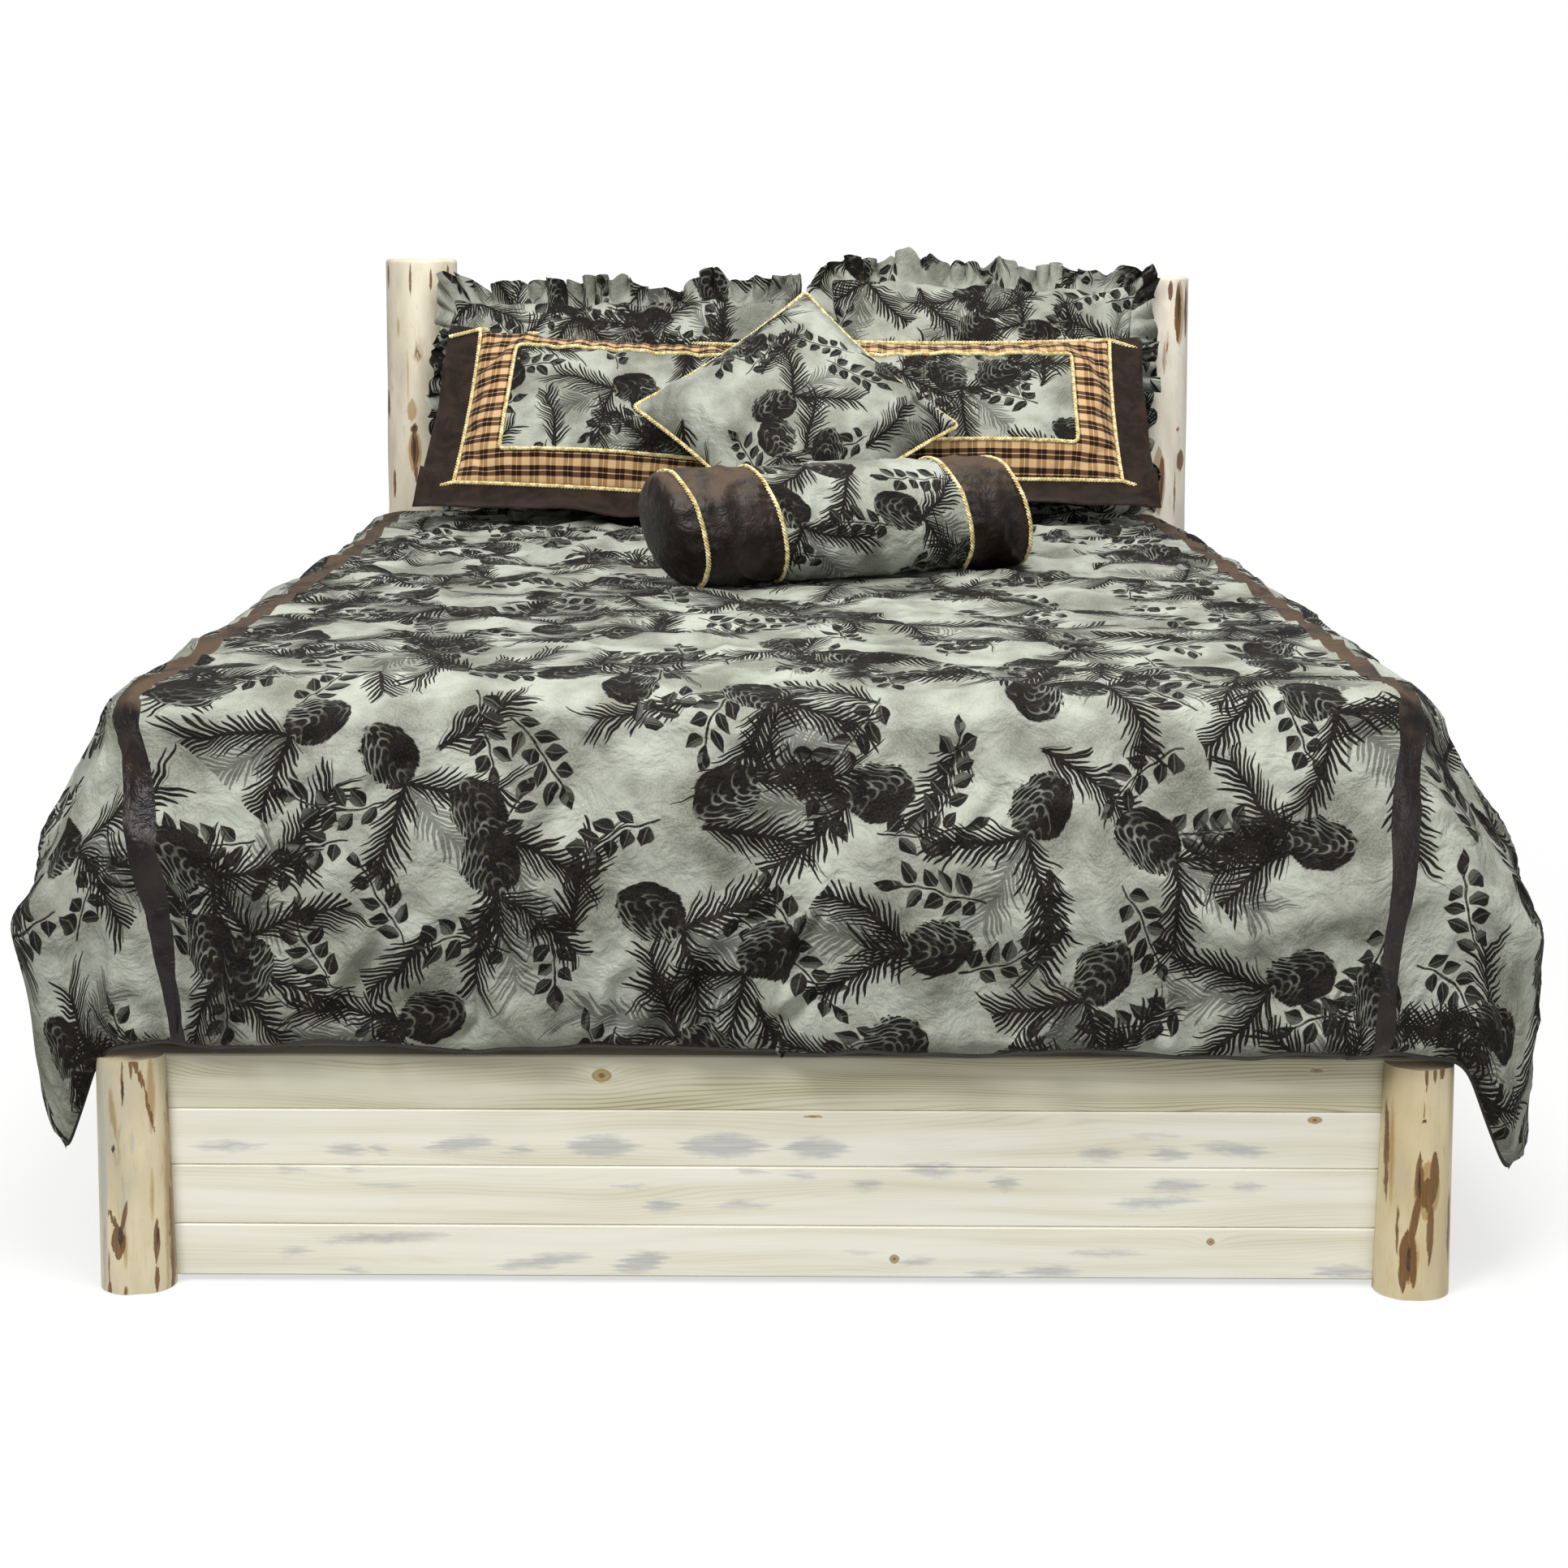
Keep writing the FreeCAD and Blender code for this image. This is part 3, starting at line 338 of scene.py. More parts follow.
def leaf_sprig(tree: bpy.types.NodeTree, across: Val, along: Val, pick: Val) -> tuple[Val, ...]:
    """Draw a twig 125 mm long, centred on 0, with pointed leaves. Gives the cover and how pale a leaf is there."""
    bent = across - along * along * ((pick - 0.5) * 0.007)
    off = bent.do("ABSOLUTE")
    side = bent.do("SIGN")
    lean = math.radians(50.0)
    pitch = 24.0
    base = along - off * (math.cos(lean) / math.sin(lean)) + side * 5.5
    index = (base / pitch + 0.5).do("FLOOR")
    a, b, c = random_of(tree, vector_of(tree, index, side, pick))
    apart = base - index * pitch + (b - 0.5) * 6.0
    run = off * (1.0 / math.sin(lean)) + apart * math.cos(lean)
    share = ((run - 4.0) / (a * 12.0 + 25.0)).clipped()
    width = (share.do("POWER", 0.8) * math.pi).do("SINE").do("POWER", 1.25) * 10.2 - 0.7
    gap = (apart * math.sin(lean)).do("ABSOLUTE")
    leaves = gap.below(width, 1.2) * (index * pitch + 8.0).do("ABSOLUTE").below(50.0, 2.0)
    tip_share = ((along - 42.0) / 36.0).clipped()
    tip = off.below((tip_share * math.pi).do("SINE") * 8.7 - 0.7, 1.2)
    stem = off.below(1.4, 0.8) * (along + 8.0).do("ABSOLUTE").below(56.0, 3.0)
    rib = gap.below(0.7, 0.8) * 0.28
    pale = ((apart * (c - 0.5)).step(0.0, 1.5) * (c * 0.35)).do("MAXIMUM", rib) * share.below(0.85, 0.3)
    return leaves.do("MAXIMUM", tip).do("MAXIMUM", stem), pale


def cone_motif(tree: bpy.types.NodeTree, across: Val, along: Val, pick: Val, ragged: Val) -> tuple[Val, ...]:
    """Draw a pine cone 90 mm long, frayed by fine noise. Gives the cover and how pale a scale is there."""
    half_long, scale_high, scale_wide = 45.0, 11.0, 14.0
    half = along * -0.09 + (pick * 4.0 + 34.0)
    radius = ((across / half).do("POWER", 2.0) + (along / half_long).do("POWER", 2.0)).do("SQRT")
    curve = along / scale_high + across * across * 0.004
    row = curve.do("FLOOR")
    column = across / scale_wide + row * 0.5
    cell = column.do("FLOOR")
    a, _, _ = random_of(tree, vector_of(tree, cell, row, pick))
    fx = (column - cell - 0.5) * scale_wide
    fy = (curve - row - 0.5) * scale_high
    scale = (fx * fx * 0.7 + (fy + 3.5) * (fy + 3.5)).do("SQRT")
    edge = (scale - 6.8).do("ABSOLUTE").below(1.5, 1.6)
    cover = (radius + (ragged - 0.5) * (across.step(-6.0, 26.0) * 0.42 + 0.10) + edge * 0.03).below(0.97, 0.05)
    pale = edge * (across / 60.0 + a * 0.8 - 0.22).clipped()
    return cover, pale


class PrintBunch:
    """A cone with needle sprigs growing from its base, on a lattice of bunches."""

    cone_base: float = -24.0
    sprigs: tuple[tuple[float, float], ...] = ((132.0, 1.0), (-138.0, 1.0), (176.0, 0.6))

    def __init__(self) -> None:
        """Build the motifs and join them into one."""
        self.lattice = Motif("lattice", 7, 3, lattice)
        self.needles = Motif("needle_sprig", 3, 1, needle_sprig)
        self.leaves = Motif("leaf_sprig", 3, 2, leaf_sprig)
        self.cone = Motif("cone", 4, 2, cone_motif)
        self.whole = Motif("bunch", 8, 2, self.draw)
        self.leafy = Motif("leafy_lattice", 7, 2, self.draw_leaves)
        self.needly = Motif("needle_lattice", 7, 1, self.draw_needles)

    def draw(self, tree: bpy.types.NodeTree, *values: Val) -> tuple[Val, ...]:
        """Draw one lattice of bunches; the last value frays the cone. Gives cover and paleness."""
        across, along, pick = self.lattice.stamp(tree, *values[:7])
        cover: Val | None = None
        for turn, ink in self.sprigs:
            dx, dy = math.sin(math.radians(turn)), math.cos(math.radians(turn))
            forward = across * dx + (along - self.cone_base) * dy
            aside = across * dy - (along - self.cone_base) * dx
            twig = self.needles.stamp(tree, aside, forward, (pick + turn * 0.01).do("FRACT"))[0] * ink
            cover = twig if cover is None else cover.do("MAXIMUM", twig)
        cone, pale = self.cone.stamp(tree, across, along - self.cone_base - 42.0, pick, values[7])
        return cover.do("MAXIMUM", cone), pale * cone

    def draw_leaves(self, tree: bpy.types.NodeTree, *values: Val) -> tuple[Val, ...]:
        """Draw one lattice of leafy twigs. Gives cover and paleness."""
        cover, pale = self.leaves.stamp(tree, *self.lattice.stamp(tree, *values))
        return cover, pale * cover

    def draw_needles(self, tree: bpy.types.NodeTree, *values: Val) -> tuple[Val, ...]:
        """Draw one lattice of lone needle sprigs. Gives the cover."""
        across, along, pick = self.lattice.stamp(tree, *values)
        return (self.needles.stamp(tree, across, along + TWIG_MIDDLE, pick)[0],)


@dataclass(frozen=True)
class PrintSizes:
    """Pitches of the printed lattices and of the drawn thread, in millimetres."""

    bunch: float = 315.0
    leaf: float = 240.0
    needle: float = 215.0
    thread: float = 1.6


class PrintedCotton(Finish):
    """Cotton, plain woven, its threads drawn at 1.6 mm: five times too coarse, so that they show."""

    name = "printed_cotton"
    sizes = PrintSizes()

    @staticmethod
    def turned(x: Val, y: Val, cell: float, stray: float, seed: float, turn: float) -> tuple:
        """List what a lattice needs."""
        return x, y, cell, stray, seed, math.cos(turn), math.sin(turn)

    def cover(self, tree: bpy.types.NodeTree, place: Socket, fray: Val) -> tuple[Val, Val]:
        """Lay the lattices over each other. Gives the ink's cover and how pale the ink is."""
        s, bunch = self.sizes, PrintBunch()
        x, y, _ = axes_of(tree, place)
        cover, pale = bunch.leafy.stamp(tree, *self.turned(x, y, s.leaf, 70.0, 5.0, 0.8))
        for seed, grow, turn in ((6.0, 1.12, 1.9), (7.0, 0.94, 2.7)):
            leaf, shade = bunch.leafy.stamp(tree, *self.turned(x, y, s.leaf * grow, 70.0, seed, turn))
            cover, pale = cover.do("MAXIMUM", leaf), pale.do("MAXIMUM", shade)
        lone = bunch.needly.stamp(tree, *self.turned(x, y, s.needle, 50.0, 3.0, 0.3))[0]
        cover = cover.do("MAXIMUM", lone)
        for seed, grow, turn in ((8.0, 1.0, 0.5), (9.0, 1.07, 1.55), (10.0, 0.95, 2.4)):
            dark, shade = bunch.whole.stamp(tree, *self.turned(x, y, s.bunch * grow, 30.0, seed, turn), fray)
            cover, pale = cover.do("MAXIMUM", dark), pale * (1.0 - dark) + shade
        return cover, pale

    def paint(self, tree: bpy.types.NodeTree) -> dict:
        """Print sprigs and cones over the clouded ground."""
        flat = place_mm(tree, "UV")
        wobble = add_node(tree, "ShaderNodeTexNoise", {"Vector": flat, "Scale": 0.03, "Detail": 1.0}, out="Color")
        place = add_node(tree, "ShaderNodeVectorMath", {0: wobble, 1: (0.5, 0.5, 0.5)}, operation="SUBTRACT")
        place = add_node(tree, "ShaderNodeVectorMath", {0: place, 1: (14.0, 14.0, 0.0), 2: flat},
                         operation="MULTIPLY_ADD")
        cover, pale = self.cover(tree, place, noise(tree, flat, 0.13, 2.0, 0.6))
        cloud = noise(tree, flat, 0.009, 3.0, 0.55)
        mottle = noise(tree, flat, 0.35, 2.0, 0.6)
        ground = mix(tree, cloud.step(0.30, 0.66), "#65665a", "#a1a498")
        ground = mix(tree, mottle.step(0.3, 0.7) * 0.2, ground, "#c1c5bb")
        ink = mix(tree, noise(tree, flat, 0.05, 2.0).step(0.42, 0.7), "#0e0a09", "#1b1512")
        ink = mix(tree, pale, ink, "#868a7e")
        colour = mix(tree, cover * (mottle * 0.16 + 0.90), ground, ink)
        u, v, _ = axes_of(tree, flat)
        thread = 2.0 * math.pi / self.sizes.thread
        weave = (u * thread).do("SINE") * (v * thread).do("SINE") * 0.5 + 0.5
        crinkle = noise(tree, flat, 0.020, 4.0, 0.58, 0.4)
        soft = bump(tree, crinkle, 15.0 * MM, 0.85)
        return {"Base Color": colour, "Roughness": 0.85, "Sheen Weight": 0.02,
                "Sheen Roughness": 0.45, "Specular IOR Level": 0.1,
                "Normal": bump(tree, weave, 0.12 * MM, 0.5, soft)}


class Plaid(Finish):
    """Brushed cotton, twill woven and yarn dyed in checks of 34 mm: brown and olive bands on tan, split by cream."""

    name = "plaid_cotton"

    @staticmethod
    def bands(place: Val) -> tuple[Val, Val]:
        """Give the dark bands and the cream line across one direction."""
        check, middle = 34.0, 0.285
        from_middle = ((place / check).do("FRACT") - middle).do("ABSOLUTE")
        cream = from_middle.below(0.022, 0.03)
        return from_middle.below(0.275, 0.05) * (1.0 - cream), cream

    def paint(self, tree: bpy.types.NodeTree) -> dict:
        """Cross the bands of the check."""
        flat = place_mm(tree, "UV")
        u, v, _ = axes_of(tree, flat)
        (warp, warp_line), (weft, weft_line) = self.bands(u), self.bands(v + 9.0)
        fuzz = noise(tree, flat, 0.5, 3.0, 0.6)
        colour = mix(tree, fuzz.step(0.3, 0.75), "#b8946a", "#ccb28a")
        colour = mix(tree, warp * (fuzz * 0.5 + 0.42), colour, "#7d5529")
        colour = mix(tree, weft * (fuzz * 0.3 + 0.74), colour, "#40200f")
        colour = mix(tree, warp * weft * 0.92, colour, "#170d08")
        colour = mix(tree, (warp_line * (1.0 - weft)).do("MAXIMUM", weft_line * (1.0 - warp)) * 0.55, colour,
                     "#ceb68d")
        twill = ((u + v) * (2.0 * math.pi / 2.2)).wave()
        return {"Base Color": colour, "Roughness": 0.9, "Sheen Weight": 0.06,
                "Sheen Roughness": 0.5, "Specular IOR Level": 0.15,
                "Normal": bump(tree, twill, 0.2 * MM, 0.5)}


class Suede(Finish):
    """Faux suede, a brushed polyester: dull, with pale and dark strokes of its nap."""

    name = "brown_suede"

    def paint(self, tree: bpy.types.NodeTree) -> dict:
        """Stroke the nap."""
        place = place_mm(tree)
        strokes = noise(tree, place, 0.03, 3.0, 0.6, 0.8)
        nap = noise(tree, place, 0.9, 2.0)
        colour = mix(tree, strokes.step(0.3, 0.72), "#150f0c", "#2d221c")
        colour = mix(tree, nap.step(0.3, 0.7) * 0.25, colour, "#43372e")
        return {"Base Color": colour, "Roughness": 0.92, "Sheen Weight": 0.15,
                "Sheen Roughness": 0.4, "Specular IOR Level": 0.12,
                "Normal": bump(tree, nap, 0.2 * MM, 0.5)}


class BondedLeather(Finish):
    """Bonded leather, rolled and rubbed: near-black brown, its up-facing tops painted paler (painted light from above)
    and duller in rubbed patches, the rest with an uneven gloss.
    """

    name = "bonded_leather"

    def paint(self, tree: bpy.types.NodeTree) -> dict:
        """Add the painted light on the up-facing tops, the grain and the creases."""
        place = place_mm(tree)
        rub = noise(tree, place, 0.018, 4.0, 0.62, 0.5)
        grain = Val(tree, add_node(tree, "ShaderNodeTexVoronoi", {"Vector": place, "Scale": 0.55}, out="Distance"))
        crease = noise(tree, place, 0.035, 4.0, 0.65, 1.2)
        _, _, up = axes_of(tree, add_node(tree, "ShaderNodeNewGeometry", out="Normal"))
        # painted light: up-facing tops, in patches of the rub, turn paler brown below and rougher, standing in for
        # light from above
        top = up.step(0.35, 0.95) * rub.step(0.25, 0.6)
        colour = mix(tree, rub.step(0.40, 0.68), "#110b09", "#261b16")
        colour = mix(tree, top * 0.75, colour, "#594735")
        shine = (rub * 0.25 + top * 0.35 + 0.16).do("ADD", grain * 0.12, clamp=True)
        folds = bump(tree, crease, 6.0 * MM, 0.7)
        return {"Base Color": colour, "Roughness": shine, "Specular IOR Level": 0.3,
                "Normal": bump(tree, grain, 0.25 * MM, 0.5, folds)}


class GoldCord(Finish):
    """Twisted rayon cord in pale cream and gold: silky along each strand."""

    name = "gold_cord"

    def paint(self, tree: bpy.types.NodeTree) -> dict:
        """Vary the strands from cream to gold."""
        place = place_mm(tree)
        tone = noise(tree, place, 0.12, 3.0, 0.6)
        colour = mix(tree, tone.step(0.35, 0.65), "#b69d5b", "#f0e5b6")
        fibres = noise(tree, place, 1.6, 2.0)
        return {"Base Color": colour, "Roughness": 0.45, "Sheen Weight": 0.1,
                "Specular IOR Level": 0.45, "Normal": bump(tree, fibres, 0.15 * MM, 0.6)}


@dataclass(frozen=True)
class PlainCloth(Finish):
    """A plain woven polyester cloth in two tones, its threads this many millimetres apart: dull, with a fine tooth."""

    name: str
    low: str
    high: str
    thread: float

    def paint(self, tree: bpy.types.NodeTree) -> dict:
        """Weave the cloth."""
        place = place_mm(tree)
        x, y, z = axes_of(tree, place)
        turn = 2.0 * math.pi / self.thread
        weave = ((x + y) * turn).do("SINE") * (z * turn).do("SINE") * 0.5 + 0.5
        tone = noise(tree, place, 0.02, 3.0)
        colour = mix(tree, (tone * 0.7 + weave * 0.3).step(0.3, 0.75), self.low, self.high)
        return {"Base Color": colour, "Roughness": 0.9, "Sheen Weight": 0.2,
                "Specular IOR Level": 0.2, "Normal": bump(tree, weave, 0.3 * MM, 0.5)}


@dataclass(frozen=True)
class Mark:
    """A knot, stain or streak: its middle across and up, and its half width and half height, in millimetres."""

    x: float
    z: float
    wide: float
    high: float
    lean: float = 0.0


class Tone(Enum):
    """What a mark on a log is; on the left half log, two full-height strips at its right edge are painted shadow."""

    BLUE = "#a9aca9"
    GOLD = "#9d7436"
    BARK_AND_SHADOW = "#68451a"
    CORE = "#2e1b0a"


def lens(tree: bpy.types.NodeTree, x: Val, z: Val, x0: Val, z0: Val, wide: Val, high: Val, lean: Val,
         soft: Val) -> tuple[Val, ...]:
    """Draw a standing lens with tapered ends and a soft edge. Gives its cover."""
    rise = (z - z0) / high
    taper = (1.0 - rise * rise).do("MAXIMUM", 0.0).do("POWER", 0.8) * wide
    gap = ((x - x0 - (z - z0) * lean).do("ABSOLUTE") - taper) / soft
    return ((0.3 - gap).do("ADD", 0.0, clamp=True) * rise.do("ABSOLUTE").below(1.0, 0.12),)


def marks(*rows: tuple[float, ...]) -> tuple[Mark, ...]:
    """Make marks of rows of numbers."""
    return tuple(Mark(*row) for row in rows)


class Marks:
    """Draws lists of marks with one node group."""

    motif: Motif | None = None

    @classmethod
    def cover(cls, tree: bpy.types.NodeTree, x: Val, z: Val, marks: Sequence[Mark], soft: float) -> Val | None:
        """Give where any of the marks lies, or None for an empty list."""
        if cls.motif is None:
            cls.motif = Motif("lens", 8, 1, lens)
        total: Val | None = None
        for m in marks:
            one = cls.motif.stamp(tree, x, z, m.x, m.z, m.wide, m.high, m.lean, soft)[0]
            total = one if total is None else total.do("MAXIMUM", one)
        return total


@dataclass(frozen=True)
class PineBoard(Finish):
    """Sawn pine under a clear satin lacquer: pale cream, with wavy growth lines, a few knots and blue stain.

    Its tones are those of light, middle and late wood, and ringed says how plain the growth lines are.
    """

    name: str
    grain: Grain
    seed: float
    tones: tuple[str, str, str]
    knots: Sequence[Mark] = ()
    stains: Sequence[Mark] = ()
    ringed: float = 0.3

    def lengthwise(self, tree: bpy.types.NodeTree) -> tuple[Val, Val, Val]:
        """Give the place along the fibres, across the face, and through the board, in millimetres."""
        x, y, z = axes_of(tree, place_mm(tree))
        order = {Grain.X: (x, z, y), Grain.Y: (y, z, x), Grain.Z: (z, x, y)}
        return order[self.grain]

    def paint(self, tree: bpy.types.NodeTree) -> dict:
        """Draw growth lines, fibres, stain and knots."""
        along, across, through = self.lengthwise(tree)
        drift = noise_at(tree, along * 0.0016, across * 0.010, self.seed, 2.0)
        place = across + (drift - 0.5) * 90.0 + through * 0.6 + self.seed * 31.0
        for knot in self.knots:
            dx, dz = (along - knot.x) * 0.5, across - knot.z
            near = (dx * dx + dz * dz).do("SQRT") / (knot.high * -1.7)
            place = place + near.do("EXPONENT") * (knot.high * 2.2)
        broad = (place / 5.0).wave().do("POWER", 3.0)
        fine = (place * (2.0 * math.pi / 4.3)).wave().do("POWER", 4.0)
        fibre = noise_at(tree, along * 0.012, across * 0.9, through * 0.9 + self.seed, 3.0, 0.6)
        slow = noise_at(tree, along * 0.0022, across * 0.03, self.seed * 3.0, 2.0)
        light, middle, late = self.tones
        colour = mix(tree, slow.step(0.35, 0.7), light, middle)
        colour = mix(tree, broad * (slow * 0.24) + fine * slow.step(0.35, 0.75) * self.ringed, colour, late)
        colour = mix(tree, fibre.step(0.5, 0.85) * 0.22, colour, late)
        frayed = along + (fibre - 0.5) * 46.0 + (across * 0.9).do("SINE") * 5.0
        uneven = across + (noise_at(tree, along * 0.04, across * 0.12, self.seed, 3.0, 0.6) - 0.5) * 16.0
        lying = [Mark(m.z, m.x, m.high, m.wide, m.lean) for m in self.stains]
        stain = Marks.cover(tree, uneven, frayed, lying, 9.0)
        if stain is not None:
            colour = mix(tree, stain * (fibre * 0.7 + 0.2), colour, "#9a9ea6")
        knots = Marks.cover(tree, along, across + (fibre - 0.5) * 3.0, self.knots, 3.0)
        if knots is not None:
            colour = mix(tree, knots * 0.85, colour, "#a3864f")
            cores = [Mark(k.x, k.z, k.wide * 0.4, k.high * 0.4) for k in self.knots]
            heart = Marks.cover(tree, along, across, cores, 2.0)
            rim = knots * (1.0 - knots) * 3.2
            colour = mix(tree, rim.do("MAXIMUM", heart) * 0.8, colour, "#69502c")
        return {"Base Color": colour, "Roughness": 0.5, "Specular IOR Level": 0.35,
                "Coat Weight": 0.08, "Coat Roughness": 0.3,
                "Normal": bump(tree, broad * -0.4 + fibre, 0.2 * MM, 0.4)}


@dataclass(frozen=True)
class PeeledLog(Finish):
    """Lodgepole pine, peeled by drawknife and lacquered: cream sapwood with brown flames of inner bark.

    The centre is the log's middle in metres, and its marks are those on its front.
    """

    name: str
    seed: float
    centre: tuple[float, float]
    tones: tuple[str, str]
    marks: dict[Tone, Sequence[Mark]]

    def paint(self, tree: bpy.types.NodeTree) -> dict:
        """Draw the sapwood, then the streaks of its front and wild flames of bark around the rest."""
        x, y, z = axes_of(tree, place_mm(tree))
        front = (y - self.centre[1] * 1000.0).below(0.0, 24.0)
        warp = noise_at(tree, x * 0.02, y * 0.02, z * 0.010 + self.seed * 3.0, 3.0, 0.6)
        shift = (warp - 0.5) * 34.0
        flame = noise_at(tree, (x + shift) * 0.030, (y + shift) * 0.030, z * 0.0062 + self.seed * 11.0, 4.0, 0.62)
        flame = flame - front * 0.10
        fibre = noise_at(tree, x * 0.7, y * 0.7, z * 0.012 + self.seed, 3.0, 0.65)
        slow = noise_at(tree, x * 0.02, y * 0.02, z * 0.006 + self.seed * 5.0, 2.0)
        ragged = noise_at(tree, x * 0.16, y * 0.16, z * 0.05 + self.seed, 3.0, 0.7) - 0.5
        mx, mz = x - self.centre[0] * 1000.0 + ragged * 5.0, z + ragged * 26.0
        wild = {Tone.BLUE: slow.step(0.56, 0.72) * 0.35, Tone.GOLD: flame.step(0.52, 0.61) * 0.45,
                Tone.BARK_AND_SHADOW: flame.step(0.60, 0.64), Tone.CORE: flame.step(0.67, 0.74) * 0.9}
        colour = mix(tree, slow.step(0.3, 0.7), self.tones[0], self.tones[1])
        colour = mix(tree, fibre.step(0.52, 0.8) * 0.3, colour, "#a8946c")
        for tone in Tone:
            soft, weight = (3.4, 0.75) if tone in (Tone.BLUE, Tone.GOLD) else (1.2, 1.0)
            drawn = Marks.cover(tree, mx, mz, self.marks.get(tone, ()), soft)
            cover = wild[tone]
            if drawn is not None:
                cover = cover.do("MAXIMUM", drawn * front * weight * (fibre * 0.4 + 0.75)).do("MINIMUM", 1.0)
            colour = mix(tree, cover, colour, tone.value)
        colour = mix(tree, ragged.step(0.0, 0.3) * 0.25, colour, "#a08a5c")
        return {"Base Color": colour, "Roughness": 0.45, "Specular IOR Level": 0.4,
                "Coat Weight": 0.12, "Coat Roughness": 0.3,
                "Normal": bump(tree, fibre * 0.5 + slow * 0.5, 0.5 * MM, 0.5)}


@dataclass(frozen=True)
class EndGrain(Finish):
    """The sawn end of a log under lacquer: pale rings with a darker rim. Its pith and radius are in metres."""

    name: str
    centre: tuple[float, float]
    radius: float

    def paint(self, tree: bpy.types.NodeTree) -> dict:
        """Draw the rings."""
        place = place_mm(tree)
        x, y, _ = axes_of(tree, place)
        dx, dy = x - self.centre[0] * 1000.0, y - self.centre[1] * 1000.0
        radius = self.radius * 1000.0
        wobble = noise(tree, place, 0.03, 2.0)
        reach = (dx * dx + dy * dy).do("SQRT") + (wobble - 0.5) * 7.0
        rings = (reach * (2.0 * math.pi / 3.4)).wave().do("POWER", 2.0)
        saw = noise_at(tree, x * 0.8, y * 0.08, 0.0)
        colour = mix(tree, rings * 0.6, "#ecdfba", "#c9a869")
        colour = mix(tree, reach.step(radius * 0.9, radius) * 0.5, colour, "#a97a40")
        colour = mix(tree, saw.step(0.5, 0.8) * 0.25, colour, "#b9965a")
        return {"Base Color": colour, "Roughness": 0.55, "Specular IOR Level": 0.35,
                "Normal": bump(tree, rings * 0.5 + saw, 0.3 * MM, 0.5)}


class ZincSteel(Finish):
    """Zinc-plated steel, rolled and drawn: a cool grey with a faint spangle."""

    name = "zinc_plated_steel"

    def paint(self, tree: bpy.types.NodeTree) -> dict:
        """Add the spangle."""
        place = place_mm(tree)
        spangle = Val(tree, add_node(tree, "ShaderNodeTexVoronoi", {"Vector": place, "Scale": 0.25}, out="Distance"))
        fine = noise(tree, place, 0.6, 2.0)
        colour = mix(tree, spangle.step(0.1, 0.8), "#aeb2b4", "#c9cccd")
        return {"Base Color": colour, "Metallic": 1.0, "Roughness": fine * 0.2 + 0.3,
                "Normal": bump(tree, fine, 0.05 * MM, 0.4)}


class Nylon(Finish):
    """Moulded black nylon with a fine spark-eroded texture."""

    name = "moulded_nylon"

    def paint(self, tree: bpy.types.NodeTree) -> dict:
        """Add the mould's texture."""
        fine = noise(tree, place_mm(tree), 1.4, 2.0)
        colour = mix(tree, fine.step(0.3, 0.7), "#1a1a1a", "#2b2b2b")
        return {"Base Color": colour, "Roughness": 0.55, "IOR": 1.53,
                "Normal": bump(tree, fine, 0.08 * MM, 0.4)}


# meshes

def new_object(name: str, data: bpy.types.ID) -> bpy.types.Object:
    """Make an object and put it into the scene."""
    made = bpy.data.objects.new(name, data)
    bpy.context.scene.collection.objects.link(made)
    return made


def enlist(piece: bpy.types.Object) -> bpy.types.Object:
    """Let a piece ride on the bed."""
    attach(piece, BED_BODY)
    return piece


def hang_on(piece: bpy.types.Object, trims: Sequence[bpy.types.Object]) -> None:
    """Make trims the children of the piece that they are sewn to, where they lie."""
    for trim in trims:
        trim.parent = piece
        trim.matrix_parent_inverse = piece.matrix_world.inverted()


def wear(mesh: bpy.types.Mesh, *finishes: Finish) -> None:
    """Give a mesh its finishes, in the order of its material numbers."""
    for finish in finishes:
        mesh.materials.append(finish.material)


def choose(mesh: bpy.types.Mesh, numbers: np.ndarray) -> None:
    """Set the material number of each face."""
    mesh.polygons.foreach_set("material_index", numbers.astype(np.int32))
    mesh.update()


def quads_of(rows: int, columns: int, wrap: bool = False) -> np.ndarray:
    """List the quads of a grid of points, whose columns may close into a ring.

    Args:
        rows: how many rows of points.
        columns: how many points in a row.
        wrap: whether the last column joins the first.
    Returns:
        Four point numbers for each quad.
    """
    r, c = np.meshgrid(np.arange(rows - 1), np.arange(columns if wrap else columns - 1), indexing="ij")
    d = (c + 1) % columns
    return np.stack([r * columns + c, r * columns + d, (r + 1) * columns + d, (r + 1) * columns + c],
                    axis=-1).reshape(-1, 4)


def border_of(grid: np.ndarray) -> np.ndarray:
    """Walk once around the border of a grid, of numbers or of points."""
    return np.concatenate([grid[0], grid[1:, -1], grid[-1, -2::-1], grid[-2:0:-1, 0]])


def tube_faces(rows: int, columns: int) -> list[tuple[int, ...]]:
    """List the faces of a closed tube: its rings' quads, then the cap on the first ring and that on the last."""
    faces = [tuple(quad) for quad in quads_of(rows, columns, wrap=True)]
    last = (rows - 1) * columns
    return faces + [tuple(reversed(range(columns))), tuple(range(last, last + columns))]


def mesh_of(name: str, points: np.ndarray, faces: np.ndarray | list,
            uvs: np.ndarray | None = None) -> bpy.types.Mesh:
    """Make a smooth-shaded mesh of points and faces.

    Args:
        name: the mesh's name.
        points: the points, in metres.
        faces: point numbers of each face.
        uvs: a flat place for each point, in metres.
    Returns:
        The mesh.
    """
    mesh = bpy.data.meshes.new(name)
    mesh.from_pydata([tuple(p) for p in np.asarray(points, float)], [], [tuple(int(i) for i in f) for f in faces])
    if uvs is not None:
        layer = mesh.uv_layers.new(name="flat")
        index = np.empty(len(mesh.loops), dtype=np.int64)
        mesh.loops.foreach_get("vertex_index", index)
        layer.data.foreach_set("uv", np.asarray(uvs, float)[index].ravel())
    mesh.polygons.foreach_set("use_smooth", [True] * len(mesh.polygons))
    mesh.update()
    return mesh


